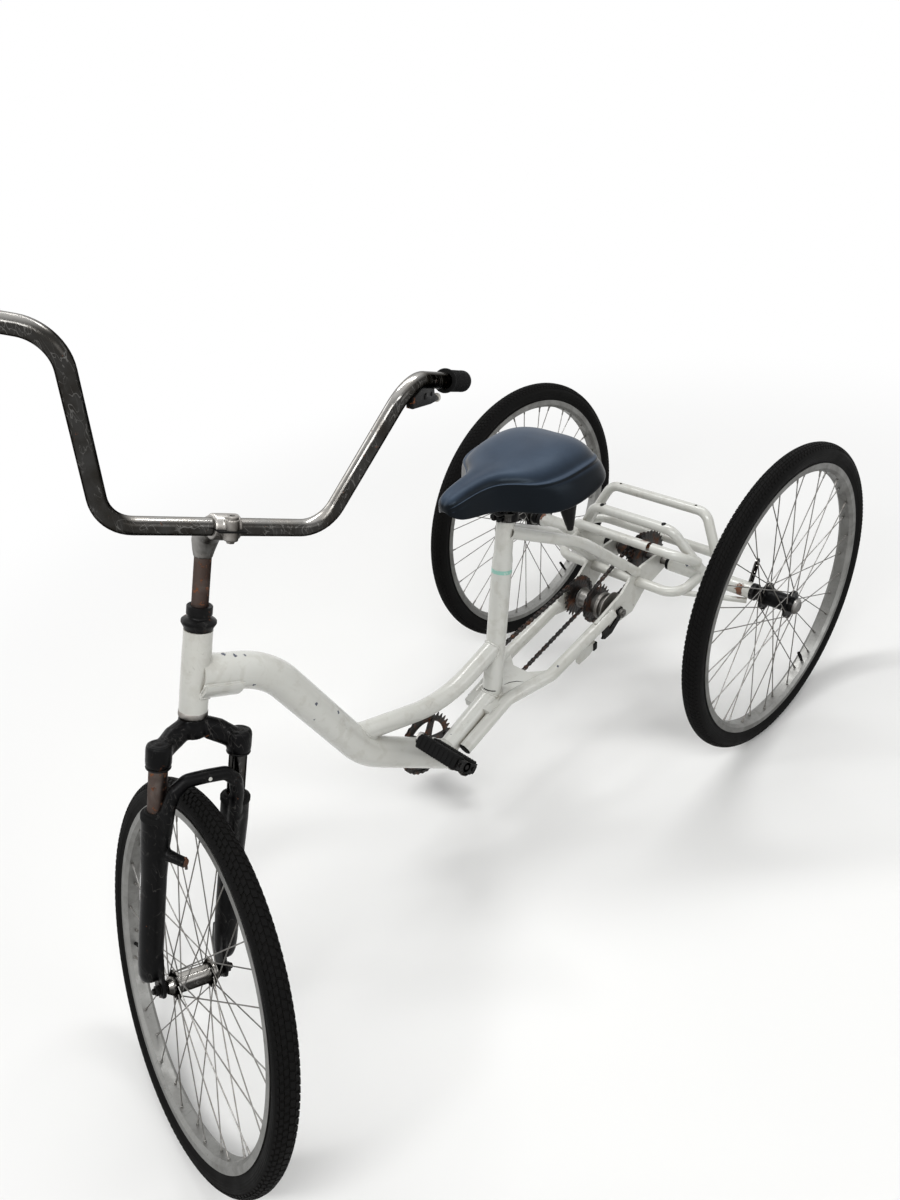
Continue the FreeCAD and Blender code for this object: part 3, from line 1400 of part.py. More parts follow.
NODE_MAKERS = (
    head_tube, headset_cups, main_tube, head_gusset, upper_tube, seat_tube, bottom_bracket_shell,
    bottom_bracket_cups, lower_link, chainstays, seatstays, stay_plates, base_loops,
    rack_hoops, cross_tube, axle_housings, axle_bearings, housing_braces, fender_tabs,
    stay_yoke, seat_post, saddle, saddle_frame, fork_crown, fork_stanchions, fork_lowers,
    headset_top, stem, handlebar, grips, brake_lever, front_axle, front_wheel, rear_wheels,
    rear_axle, freewheel_cluster, hub_shell, hub_sprocket, hub_axle, reaction_arm, crankset,
    chainring, pedal_spindles, pedals, chains,
)

for make in NODE_MAKERS:
    make()
doc.recompute()

for item in doc.Objects:
    if {"Invalid", "Error"} & set(item.State):
        raise RuntimeError(f"{item.Name} failed: {item.State}")
os.makedirs("parts", exist_ok=True)
for name, item in NODES.items():
    if item.Shape.isNull() or not item.Shape.isValid():
        raise RuntimeError(f"{name} has no valid shape")
    item.Shape.exportStep(f"parts/{name}.step")
    print(name, len(item.Shape.Solids), round(item.Shape.Volume))
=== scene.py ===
# %% [markdown]
# # A worn step-through tricycle, piece by piece
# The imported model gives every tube, wheel and bearing its true size and place. This lesson
# dresses it: each finish is built from small shader effects, and each piece that the plain
# solids only stand for, such as the tread, the chains and the saddle, is modelled and laid
# where its solid is.

# %% Load the frame
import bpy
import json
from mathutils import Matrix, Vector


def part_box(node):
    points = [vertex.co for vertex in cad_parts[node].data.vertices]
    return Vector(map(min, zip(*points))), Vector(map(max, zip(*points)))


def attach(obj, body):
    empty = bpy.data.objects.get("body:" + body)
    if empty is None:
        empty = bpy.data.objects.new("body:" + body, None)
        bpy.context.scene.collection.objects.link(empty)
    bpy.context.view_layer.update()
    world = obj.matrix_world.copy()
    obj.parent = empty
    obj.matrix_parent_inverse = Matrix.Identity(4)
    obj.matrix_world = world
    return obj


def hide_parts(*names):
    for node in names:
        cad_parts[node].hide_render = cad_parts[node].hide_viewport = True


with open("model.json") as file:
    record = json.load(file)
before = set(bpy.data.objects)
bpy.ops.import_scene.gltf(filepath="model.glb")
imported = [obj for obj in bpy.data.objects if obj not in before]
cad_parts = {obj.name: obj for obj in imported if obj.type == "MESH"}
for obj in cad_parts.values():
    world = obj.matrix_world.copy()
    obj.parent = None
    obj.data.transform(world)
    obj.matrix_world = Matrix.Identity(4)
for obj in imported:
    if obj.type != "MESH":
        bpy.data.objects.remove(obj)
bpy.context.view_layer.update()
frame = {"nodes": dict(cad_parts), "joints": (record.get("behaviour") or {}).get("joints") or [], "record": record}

# %% Modules, units and names from the record
import json
import math
import random

import bmesh
import bpy
from mathutils import Matrix, Vector
from mathutils.bvhtree import BVHTree

MM = 0.001
LEFT, BACK, UP = Vector((1, 0, 0)), Vector((0, 1, 0)), Vector((0, 0, 1))
JOINTS = {joint["name"]: joint for joint in frame["joints"]}
SLOT_OF = {part["node"]: part["material_slot"] for part in frame["record"]["subparts"]}
print("joints:", ", ".join(JOINTS))

# %% [markdown]
# ## Axes to build on
# A fork or a wheel is easiest to model in its own straight-up space, and then to lay in
# place. Each joint of the record gives a point and an axis, so a matrix made from them turns
# such a space into the tricycle's, wherever the steering happens to rest.

# %% Spaces from joints and boxes
def joint_axis(name):
    """The place and the direction of a joint."""
    joint = JOINTS[name]
    return Vector(joint["pos_m"]), Vector(joint["axis"]).normalized()


def space_of(origin, across, back, up):
    """A space in millimetres, from its origin in metres and its three axes."""
    turn = Matrix((across, back, up)).transposed().to_4x4()
    return Matrix.Translation(origin) @ turn @ Matrix.Scale(MM, 4)


def basis(origin, across, up):
    """A space whose Z is up and whose X is nearly across."""
    back = up.cross(across).normalized()
    return space_of(origin, back.cross(up).normalized(), back, up)


def along(origin, direction):
    """A space whose Z runs along a direction."""
    direction = direction.normalized()
    side = UP if abs(direction.z) < 0.9 else BACK
    return basis(origin, side.cross(direction).normalized(), direction)


def node_box(node):
    """The two corners of a solid's box, in millimetres."""
    return [Vector(corner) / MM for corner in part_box(node)]


def middle_of(node):
    """The middle of a solid's box, in metres."""
    low, high = (Vector(corner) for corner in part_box(node))
    return (low + high) / 2


STEER_POINT, STEER_UP = joint_axis("steering")
WHEEL_POINT, WHEEL_AXLE = joint_axis("front_wheel_spin")
STEERING = basis(STEER_POINT, WHEEL_AXLE, STEER_UP)
FRAME = Matrix.Scale(MM, 4)
print("fork turned", round(math.degrees(WHEEL_AXLE.angle(LEFT))), "degrees")

# %% [markdown]
# ## Camera
# The tricycle is seen from ahead of it on its left, from a little above head height, with
# the camera rolled. A few plain numbers say that: where the eye is, its heading, dip and
# roll, and the lens with its shift.

# %% Camera
EYE = Vector((1.1083, -0.8733, 1.5966))
HEADING, DIP, ROLL = math.radians(-55.291), math.radians(-35.497), math.radians(-14.217)
LENS, SHIFT = 27.93, 0.039


def add_object(name, data):
    """An object in the scene."""
    made = bpy.data.objects.new(name, data)
    bpy.context.collection.objects.link(made)
    return made


def aimed(place, look):
    """Where something stands that looks along a direction."""
    return Matrix.Translation(place) @ look.to_track_quat("-Z", "Y").to_matrix().to_4x4()


def add_camera():
    """Look along the heading and the dip, then roll."""
    level = math.cos(DIP)
    look = Vector((math.sin(HEADING) * level, math.cos(HEADING) * level, math.sin(DIP)))
    lens = bpy.data.cameras.new("camera")
    lens.lens, lens.shift_x = LENS, SHIFT
    camera = add_object("camera", lens)
    camera.matrix_world = aimed(EYE, look) @ Matrix.Rotation(ROLL, 4, "Z")
    return camera


bpy.context.scene.camera = add_camera()
print("camera", [round(value, 3) for value in EYE])

# %% [markdown]
# ## Light and floor
# A soft even sky shows a worn finish fairly. Long lamps overhead, like shop strip lights,
# draw the bright lines along the tubes that tell polished steel from paint.

# %% Lamps
bpy.context.scene.view_settings.view_transform = "Standard"
SKY, BACKDROP = 0.40, 1.0
FLOOR_COLOUR = (0.82, 0.82, 0.81, 1)
# name, place, aimed at, length, width, watts
LAMPS = (
    ("strip_front", (1.1, -1.5, 2.7), (0.1, -0.5, 0.4), 2.6, 0.35, 46),
    ("strip_rear", (-0.6, 0.9, 2.8), (0.0, 0.3, 0.3), 2.6, 0.35, 44),
    ("side", (2.9, 0.6, 1.6), (0.0, 0.0, 0.5), 1.6, 1.2, 14),
    ("behind", (-2.4, -0.9, 1.9), (0.0, 0.0, 0.6), 1.6, 1.2, 15),
)


def add_lamp(name, place, target, length, width, watts):
    lamp = bpy.data.lights.new(name, "AREA")
    lamp.shape, lamp.size, lamp.size_y, lamp.energy = "RECTANGLE", length, width, watts
    add_object(name, lamp).matrix_world = aimed(place, Vector(target) - Vector(place))


for row in LAMPS:
    add_lamp(*row)
print(len(LAMPS), "lamps")

# %% [markdown]
# ## Helpers for shader nodes
# A material is a tree of nodes. Adding a node, setting its sockets and joining it to others
# takes many lines each time, so a few short helpers do it.

# %% Nodes and sockets
def wire(tree, socket, value):
    """Join a socket to another, or set its value."""
    if isinstance(value, bpy.types.NodeSocket):
        tree.links.new(value, socket)
    else:
        socket.default_value = value


def add_node(tree, kind, inputs=None, **settings):
    """A node with its settings, and its inputs by name or by number."""
    made = tree.nodes.new(kind)
    for name, value in settings.items():
        setattr(made, name, value)
    for name, value in (inputs or {}).items():
        wire(tree, made.inputs[name], value)
    return made


def object_place(tree):
    return add_node(tree, "ShaderNodeTexCoord").outputs["Object"]


def noise(tree, where, scale, detail=4.0, roughness=0.55, distortion=0.0):
    inputs = {"Vector": where, "Scale": scale, "Detail": detail,
              "Roughness": roughness, "Distortion": distortion}
    return add_node(tree, "ShaderNodeTexNoise", inputs).outputs["Fac"]


def spread(tree, value, low, high, start=0.0, end=1.0):
    """A smooth step: start below low, end above high."""
    inputs = {"Value": value, "From Min": low, "From Max": high, "To Min": start, "To Max": end}
    return add_node(tree, "ShaderNodeMapRange", inputs, interpolation_type="SMOOTHSTEP").outputs[0]


# %% Arithmetic on values, vectors and colours
def maths(tree, operation, first, second=0.0, third=0.0):
    return add_node(tree, "ShaderNodeMath", {0: first, 1: second, 2: third},
                    operation=operation).outputs[0]


def times(tree, first, second):
    return maths(tree, "MULTIPLY", first, second)


def vectors(tree, operation, first, second=(0, 0, 0), **inputs):
    """Arithmetic on vectors."""
    return add_node(tree, "ShaderNodeVectorMath", {0: first, 1: second, **inputs},
                    operation=operation).outputs


def mixed(tree, share, first, second):
    """Two colours mixed by a share from 0 to 1."""
    return add_node(tree, "ShaderNodeMix", {"Factor": share, 6: first, 7: second},
                    data_type="RGBA").outputs[2]


def raised(tree, height, strength, distance):
    """A bump made from a height."""
    inputs = {"Height": height, "Strength": strength, "Distance": distance}
    return add_node(tree, "ShaderNodeBump", inputs).outputs[0]


# %% [markdown]
# ## Shared effects as node groups
# Several finishes wear the same way, and several are painted with light above and shade below
# the same way. A node group is built once, with named inputs, and each material places it with
# its own numbers. The wear patterns sit in the object's own space, so they stay on a piece that
# turns; the painted light and shade follow the world's up. A function fills each group and
# returns its outputs by name.

# %% Build a group and place it
SOCKET = {"value": "NodeSocketFloat", "vector": "NodeSocketVector", "Colour": "NodeSocketColor"}


def build_effect(fill, **inputs):
    """A node group from a function that fills it and from its inputs' default values."""
    group = bpy.data.node_groups.new(fill.__name__, "ShaderNodeTree")
    for title, default in inputs.items():
        kind = SOCKET["vector" if isinstance(default, tuple) else "value"]
        group.interface.new_socket(title, in_out="INPUT", socket_type=kind).default_value = default
    given = group.nodes.new("NodeGroupInput").outputs
    made = fill(group, given, object_place(group))
    for title in made:
        kind = SOCKET.get(title, SOCKET["value"])
        group.interface.new_socket(title, in_out="OUTPUT", socket_type=kind)
    result = group.nodes.new("NodeGroupOutput").inputs
    for title, value in made.items():
        wire(group, result[title], value)
    print("effect:", group.name)
    return group


def effect(tree, group, **inputs):
    """Place a group in a material or in another group."""
    made = tree.nodes.new("ShaderNodeGroup")
    made.node_tree = group
    for name, value in inputs.items():
        wire(tree, made.inputs[name], value)
    return made.outputs


def mask(tree, group, **inputs):
    return effect(tree, group, **inputs)["Mask"]


def patchy(tree, scale, cover, softness):
    return mask(tree, PATCHES, Scale=scale, Cover=cover, Softness=softness)


# %% Patches: soft clouds of dirt or fading
def patches(group, given, place):
    cloud = noise(group, place, given["Scale"], 5, 0.6, 0.4)
    edge = maths(group, "SUBTRACT", 0.72, times(group, given["Cover"], 0.44))
    low = maths(group, "SUBTRACT", edge, given["Softness"])
    high = maths(group, "ADD", edge, given["Softness"])
    return {"Mask": spread(group, cloud, low, high)}


PATCHES = build_effect(patches, Scale=20, Cover=0.4, Softness=0.1)


# %% Chips: small ragged spots where a coat has come away
def chips(group, given, place):
    ragged = add_node(group, "ShaderNodeTexNoise", {"Vector": place, "Scale": 260, "Detail": 3})
    push = vectors(group, "SUBTRACT", ragged.outputs["Color"], (0.5, 0.5, 0.5))[0]
    push = vectors(group, "SCALE", push, Scale=0.006)[0]
    moved = vectors(group, "ADD", place, push)[0]
    cells = add_node(group, "ShaderNodeTexVoronoi", {"Vector": moved, "Scale": given["Scale"]})
    parts = add_node(group, "ShaderNodeSeparateColor", {"Color": cells.outputs["Color"]}).outputs
    chosen = maths(group, "LESS_THAN", parts[0], given["Share"])
    reach = times(group, given["Size"], parts[1])
    inside = maths(group, "LESS_THAN", cells.outputs["Distance"], reach)
    return {"Mask": times(group, chosen, inside)}


CHIPS = build_effect(chips, Scale=60, Share=0.2, Size=0.2)


# %% Scratches: thin lines that run two ways, in patches
def scratches(group, given, place):
    lines = []
    for turn, stretch in (((0.3, 0.8, 0.2), (1, 5, 1)), ((1.1, 0.2, 0.9), (6, 1, 1))):
        mapping = add_node(group, "ShaderNodeMapping",
                           {"Vector": place, "Rotation": turn, "Scale": stretch})
        wave = noise(group, mapping.outputs[0], given["Scale"], 2, 0.5, 0.6)
        off = maths(group, "ABSOLUTE", maths(group, "SUBTRACT", wave, 0.5))
        lines.append(maths(group, "LESS_THAN", off, given["Width"]))
    where = patchy(group, 17.0, given["Cover"], 0.04)
    return {"Mask": times(group, maths(group, "MAXIMUM", *lines), where)}


SCRATCHES = build_effect(scratches, Scale=12, Width=0.01, Cover=0.5)


# %% Rust: its colours and its crust
def rust(group, given, place):
    cloud = noise(group, place, given["Scale"], 6, 0.7)
    fine = noise(group, place, times(group, given["Scale"], 6), 4, 0.6)
    dark = mixed(group, spread(group, cloud, 0.35, 0.6), (0.035, 0.014, 0.008, 1),
                 (0.14, 0.048, 0.018, 1))
    colour = mixed(group, spread(group, fine, 0.56, 0.72), dark, (0.30, 0.13, 0.045, 1))
    return {"Colour": colour, "Crust": maths(group, "ADD", times(group, cloud, 0.6), fine)}


RUST = build_effect(rust, Scale=90)


# %% Crevices: where dirt gathers because a rag doesn't reach
def crevices(group, given, place):
    hidden = add_node(group, "ShaderNodeAmbientOcclusion", {"Distance": given["Reach"]}, samples=6)
    closed = maths(group, "SUBTRACT", 1.0, hidden.outputs["AO"])
    level = maths(group, "MULTIPLY_ADD", noise(group, place, 70.0, 5, 0.65), 0.5, closed)
    edge = maths(group, "SUBTRACT", 1.1, times(group, given["Cover"], 0.7))
    return {"Mask": spread(group, level, edge, maths(group, "ADD", edge, 0.35))}


CREVICES = build_effect(crevices, Reach=0.012, Cover=0.5)


# %% Spot: a ragged mark at one place, such as a rust stain or a scuff
def spot(group, given, place):
    away = vectors(group, "SUBTRACT", place, given["Centre"])[0]
    away = vectors(group, "DIVIDE", away, given["Stretch"])[0]
    distance = vectors(group, "LENGTH", away)["Value"]
    share = maths(group, "DIVIDE", distance, given["Radius"])
    ragged = maths(group, "SUBTRACT", noise(group, place, 150.0, 5, 0.7), 0.5)
    level = maths(group, "MULTIPLY_ADD", ragged, times(group, given["Raggedness"], 4), share)
    return {"Mask": spread(group, level, 0.8, 1.05, 1.0, 0.0)}


SPOT = build_effect(spot, Centre=(0, 0, 0), Stretch=(1, 1, 1), Radius=0.01, Raggedness=0.5)


# %% Grain: the fine height of a cast, moulded or leather-like surface
def grain(group, given, place):
    cells = add_node(group, "ShaderNodeTexVoronoi",
                     {"Vector": place, "Scale": given["Scale"]}, feature="SMOOTH_F1")
    fine = noise(group, place, times(group, given["Scale"], 1.7), 3, 0.6)
    height = maths(group, "MULTIPLY_ADD", cells.outputs["Distance"], given["Cells"], fine)
    return {"Height": height}


GRAIN = build_effect(grain, Scale=400, Cells=0.5)


# %% Facing: how far a surface looks up
# The metals and the saddle use this mask for painted light on upward faces and painted shade on downward ones.
def facing(group, given, _):
    normal = group.nodes.new("ShaderNodeNewGeometry").outputs["Normal"]
    up = add_node(group, "ShaderNodeSeparateXYZ", {0: normal}).outputs["Z"]
    return {"Mask": spread(group, up, given["Low"], given["High"])}


FACING = build_effect(facing, Low=0, High=1)

# %% [markdown]
# ## Finishes
# Each material keeps its own Principled shader, fed by the effects above. Colours are
# written as they look under white light, and the wear is laid over them with masks.

# %% Helpers for a finish
FINISHES = {}


def new_finish(name):
    """The node tree of a new material, which is kept by its name."""
    FINISHES[name] = bpy.data.materials.new(name)
    FINISHES[name].use_nodes = True
    print("finish:", name)
    return FINISHES[name].node_tree


def dress(tree, **inputs):
    """Set or join inputs of the material's shader; an underscore stands for a space."""
    for name, value in inputs.items():
        wire(tree, tree.nodes["Principled BSDF"].inputs[name.replace("_", " ")], value)


def layer(tree, base, over, where, share=1.0):
    """Lay a colour over another where a mask is, at most by a share."""
    return mixed(tree, times(tree, where, share), base, over)


def grained(tree, scale, cells, strength, distance):
    height = effect(tree, GRAIN, Scale=scale, Cells=cells)["Height"]
    return raised(tree, height, strength, distance)


def shade(colour, share):
    return tuple(part * share for part in colour[:3]) + (1,)


# %% [markdown]
# ### Frame paint
# White gloss paint, yellowed and dulled by years. Dirt lies in the corners, dark scratches and
# chips show the steel, and rust has started at chosen places: below the basket's notch, at the
# outer ends of the axle housings and by the bottom bracket.

# %% Rust and scuffs at chosen places
# centre, stretch and radius, all in metres on the tricycle
RUST_SPOTS = (
    ((0.0505, 0.530, 0.393), (1.0, 1.0, 1.0), 0.013),
    ((0.2620, 0.553, 0.331), (0.5, 1.0, 1.0), 0.018),
    ((-0.2800, 0.568, 0.337), (0.6, 1.0, 1.0), 0.015),
    ((0.0060, -0.088, 0.279), (0.5, 1.0, 1.0), 0.009),
    ((0.0200, -0.450, 0.588), (1.0, 1.0, 0.5), 0.010),
)
SCUFF_SPOTS = (
    ((0.0021, -0.4545, 0.7630), (1.0, 1.0, 0.6), 0.005),
    ((0.0060, -0.4400, 0.7540), (0.8, 0.6, 0.8), 0.006),
    ((0.0100, -0.4260, 0.7440), (0.8, 0.6, 0.8), 0.005),
    ((0.0300, -0.3480, 0.5890), (1.0, 1.0, 1.0), 0.004),
)


def any_spot(tree, spots, raggedness):
    """One mask for several places."""
    whole = 0.0
    for centre, stretch, radius in spots:
        here = mask(tree, SPOT, Centre=centre, Stretch=stretch, Radius=radius,
                    Raggedness=raggedness)
        whole = maths(tree, "MAXIMUM", whole, here)
    return whole


# %% The white paint
def frame_paint():
    tree = new_finish("frame_paint")
    white, aged = (0.535, 0.54, 0.51, 1), (0.47, 0.462, 0.415, 1)
    colour = layer(tree, white, aged, patchy(tree, 5.0, 0.55, 0.25), 0.55)
    dirt = mask(tree, CREVICES, Reach=0.022, Cover=0.62)
    colour = layer(tree, colour, (0.20, 0.165, 0.11, 1), dirt, 0.62)
    colour = layer(tree, colour, (0.30, 0.27, 0.22, 1), patchy(tree, 34.0, 0.34, 0.07), 0.20)
    marks = mask(tree, SCRATCHES, Scale=9.0, Width=0.0035, Cover=0.26)
    colour = layer(tree, colour, (0.22, 0.20, 0.18, 1), marks, 0.4)
    chipped = mask(tree, CHIPS, Scale=46.0, Share=0.10, Size=0.20)
    bare = maths(tree, "MAXIMUM", chipped, any_spot(tree, SCUFF_SPOTS, 0.9))
    colour = layer(tree, colour, (0.045, 0.05, 0.075, 1), bare)
    stained = any_spot(tree, RUST_SPOTS, 0.55)
    colour = layer(tree, colour, effect(tree, RUST, Scale=120.0)["Colour"], stained)
    worn = maths(tree, "MAXIMUM", bare, stained)
    dull = maths(tree, "MAXIMUM", times(tree, dirt, 0.6), worn)
    height = maths(tree, "SUBTRACT", effect(tree, GRAIN, Scale=130.0, Cells=0.4)["Height"],
                   times(tree, worn, 0.9))
    dress(tree, Base_Color=colour, Roughness=spread(tree, dull, 0.0, 1.0, 0.24, 0.72),
          Normal=raised(tree, height, 0.22, 0.0008), Coat_Weight=0.25, Coat_Roughness=0.12)


frame_paint()

# %% [markdown]
# ### Black coats
# The fork is black satin enamel over a cast part, and the small fittings are black oxide or
# cheap paint on steel. Both go grey where they rub and show rust on their rough ends.

# %% Black paint and black steel
def black_coat(name, colour, roughness, relief, rust_cover):
    tree = new_finish(name)
    worn = patchy(tree, 42.0, 0.38, 0.16)
    base = layer(tree, colour, shade(colour, 1.8), worn)
    dirt = mask(tree, CREVICES, Reach=0.010, Cover=0.6)
    base = layer(tree, base, (0.030, 0.023, 0.017, 1), dirt, 0.3)
    marks = mask(tree, SCRATCHES, Scale=16.0, Width=0.006, Cover=0.45)
    base = layer(tree, base, (0.10, 0.095, 0.09, 1), marks, 0.3)
    rusty = patchy(tree, 75.0, rust_cover, 0.05)
    base = layer(tree, base, effect(tree, RUST, Scale=150.0)["Colour"], rusty)
    dull = maths(tree, "MAXIMUM", rusty, times(tree, worn, 0.5))
    dress(tree, Base_Color=base, Normal=grained(tree, relief, 0.5, 0.3, 0.0005),
          Roughness=spread(tree, dull, 0, 1, roughness, roughness + 0.35),
          Specular_IOR_Level=0.09)


black_coat("black_paint", (0.0012, 0.0012, 0.0014, 1), 0.30, 420.0, 0.0)
black_coat("black_steel", (0.0035, 0.0034, 0.0035, 1), 0.34, 700.0, 0.06)

# %% [markdown]
# ### Bright and bare metals
# The handlebar's chrome has gone dull and brown. Each metal is painted lighter on its upper
# faces as light and darker on its lower faces as shade. The same recipe makes chrome, spokes and
# rims: a metal broken up by fine scratches, a brown film and pits.

# %% Five metals
def bright_metal(name, colour, film, roughness, film_cover, rust_cover, painted_shade_below, facing, edge):
    tree = new_finish(name)
    fog = patchy(tree, 26.0, film_cover, 0.2)
    # Upper faces get the lit colour and lower faces a darker copy of it: painted light and painted shade, picked
    # by the Facing mask.
    upper = layer(tree, colour, film, fog, 0.6)
    lower = layer(tree, shade(colour, painted_shade_below), shade(film, painted_shade_below), fog)
    base = layer(tree, lower, upper, mask(tree, FACING, Low=facing[0], High=facing[1]))
    marks = mask(tree, SCRATCHES, Scale=22.0, Width=0.007, Cover=0.6)
    base = layer(tree, base, shade(colour, 0.45), marks, 0.35)
    rusty = effect(tree, RUST, Scale=170.0)
    pitted = patchy(tree, 120.0, rust_cover, 0.04)
    fine = noise(tree, object_place(tree), 300.0, 3)
    dull = maths(tree, "ADD", times(tree, fog, 0.35), pitted)
    dull = maths(tree, "MULTIPLY_ADD", fine, 0.25, dull)
    height = maths(tree, "MULTIPLY_ADD", pitted, rusty["Crust"], times(tree, fine, 0.2))
    dress(tree, Base_Color=layer(tree, base, rusty["Colour"], pitted),
          Metallic=maths(tree, "SUBTRACT", 1.0, pitted),
          Roughness=spread(tree, dull, 0, 1, roughness, roughness + 0.5),
          Normal=raised(tree, height, 0.25, 0.0005), Specular_Tint=(edge, edge, edge, 1))


BROAD, TOP_ONLY = (-0.35, 0.75), (0.42, 1.0)
# name, clean colour, film colour, roughness, share filmed, share rusted, how dark the painted
# shade below is, how far up a face must look to get the painted light, edge tint
METALS = (
    ("chrome", (0.52, 0.51, 0.49, 1), (0.28, 0.255, 0.22, 1), 0.12, 0.4, 0.04, 0.08,
     TOP_ONLY, 0.3),
    ("bare_steel", (0.30, 0.295, 0.285, 1), (0.15, 0.135, 0.115, 1), 0.30, 0.5, 0.06, 0.5,
     BROAD, 0.8),
    ("rim_alloy", (0.27, 0.27, 0.26, 1), (0.19, 0.187, 0.178, 1), 0.32, 0.45, 0.0, 0.7,
     BROAD, 0.8),
    ("rusty_chrome", (0.145, 0.122, 0.11, 1), (0.055, 0.034, 0.027, 1), 0.30, 0.75, 0.25, 0.5,
     BROAD, 0.6),
    ("cast_alloy", (0.50, 0.49, 0.47, 1), (0.17, 0.145, 0.12, 1), 0.26, 0.55, 0.04, 0.16,
     BROAD, 0.6),
)
for row in METALS:
    bright_metal(*row)

# %% [markdown]
# ### Rusty drive
# The sprockets' steel has gone brown all over, with old black grease in the corners and a
# little bare metal on the tops of the teeth. The chains are darker, greased between the plates.

# %% Sprocket steel and chain steel
def greasy_steel(name, scale, grease, patch, roughness, bump):
    """Rust under patches of grease; it returns the tree and the colour so far."""
    tree = new_finish(name)
    rusty = effect(tree, RUST, Scale=scale)
    greasy = patchy(tree, *patch)
    colour = layer(tree, rusty["Colour"], grease, greasy)
    dress(tree, Base_Color=colour, Roughness=spread(tree, greasy, 0, 1, *roughness),
          Normal=raised(tree, rusty["Crust"], *bump))
    return tree, colour


tree, colour = greasy_steel("rusty_steel", 210.0, (0.008, 0.0065, 0.006, 1), (60.0, 0.55, 0.14),
                            (0.78, 0.38), (0.5, 0.0006))
bare = patchy(tree, 190.0, 0.18, 0.05)
dress(tree, Base_Color=layer(tree, colour, (0.26, 0.23, 0.20, 1), bare, 0.5),
      Metallic=maths(tree, "MULTIPLY_ADD", bare, 0.5, 0.2))
tree, colour = greasy_steel("chain_steel", 260.0, (0.012, 0.010, 0.009, 1), (44.0, 0.72, 0.12),
                            (0.8, 0.42), (0.4, 0.0004))
dress(tree, Metallic=0.35)

# %% [markdown]
# ### Rubber, plastic and vinyl
# Tyres fade to dark grey with dust in their grooves. Grips and pedals are matt and finely
# pebbled. The saddle is dark blue vinyl with a soft grain; its top is painted a lighter, patchy
# blue as a sheen, and a blue specular tint paints its reflections.

# %% Rubber and moulded plastic
DUST = (0.024, 0.021, 0.018, 1)


def dusty_rubber(name, colour, roughness, scale):
    tree = new_finish(name)
    fade_and_sheen = patchy(tree, 18.0, 0.5, 0.25)
    base = layer(tree, colour, shade(colour, 1.5), fade_and_sheen)
    base = layer(tree, base, DUST, mask(tree, CREVICES, Reach=0.006, Cover=0.7), 0.22)
    base = layer(tree, base, DUST, mask(tree, CHIPS, Scale=170.0, Share=0.06, Size=0.3), 0.25)
    dress(tree, Base_Color=base, Normal=grained(tree, scale, 0.6, 0.3, 0.0004),
          Roughness=spread(tree, fade_and_sheen, 0, 1, roughness, roughness + 0.15),
          Specular_IOR_Level=0.05)


dusty_rubber("tyre_rubber", (0.0042, 0.0041, 0.0040, 1), 0.62, 600.0)
dusty_rubber("grip_rubber", (0.0055, 0.0055, 0.0055, 1), 0.58, 900.0)
dusty_rubber("pedal_plastic", (0.0055, 0.0055, 0.0055, 1), 0.5, 700.0)


# %% Vinyl, pale plastic and the ring's paint
def saddle_vinyl():
    tree = new_finish("saddle_vinyl")
    # Upward faces are painted a lighter, patchy blue as a sheen over the near-black skirt colour, and the blue
    # specular tint paints the reflections.
    top = mask(tree, FACING, Low=0.45, High=1.0)
    fade_and_sheen = patchy(tree, 11.0, 0.5, 0.3)
    painted_sheen = layer(tree, (0.020, 0.030, 0.048, 1), (0.034, 0.050, 0.076, 1), fade_and_sheen)
    base = layer(tree, (0.0016, 0.0017, 0.0021, 1), painted_sheen, top)
    base = layer(tree, base, DUST, mask(tree, CREVICES, Reach=0.008, Cover=0.5), 0.08)
    dress(tree, Base_Color=base, Roughness=spread(tree, top, 0, 1, 0.30, 0.42),
          Normal=grained(tree, 950.0, 0.8, 0.2, 0.0004), Specular_IOR_Level=0.17,
          Specular_Tint=(0.62, 0.80, 1.0, 1))


def pale_plastic():
    tree = new_finish("pale_plastic")
    grubby = patchy(tree, 90.0, 0.4, 0.2)
    dress(tree, Base_Color=layer(tree, (0.62, 0.61, 0.57, 1), (0.36, 0.33, 0.28, 1), grubby),
          Normal=grained(tree, 700.0, 0.3, 0.2, 0.0003), Roughness=0.45)


def green_line():
    """The thin paint of the ring round the seat tube, rubbed through in places."""
    tree = new_finish("green_line")
    worn = patchy(tree, 140.0, 0.25, 0.06)
    dress(tree, Base_Color=layer(tree, (0.24, 0.46, 0.39, 1), (0.70, 0.69, 0.65, 1), worn, 0.6),
          Roughness=0.4)


saddle_vinyl()
pale_plastic()
green_line()

# %% Give every solid its finish
for name, solid in frame["nodes"].items():
    solid.data.materials.clear()
    solid.data.materials.append(FINISHES[SLOT_OF[name]])
print("solids finished:", len(frame["nodes"]))

# %% [markdown]
# ## Tools for modelling
# A Shape gathers corners and faces made in one space. Turned, swept and cut-out forms can be
# added to it, and one call then makes the object, gives it its finish and its body, and hides
# the solids that it stands for.

# %% Circles and Shapes
def polar(radius, angle):
    return radius * math.cos(angle), radius * math.sin(angle)


def circle(radius, count, turn=0.0):
    return [polar(radius, math.tau * step / count + turn) for step in range(count)]


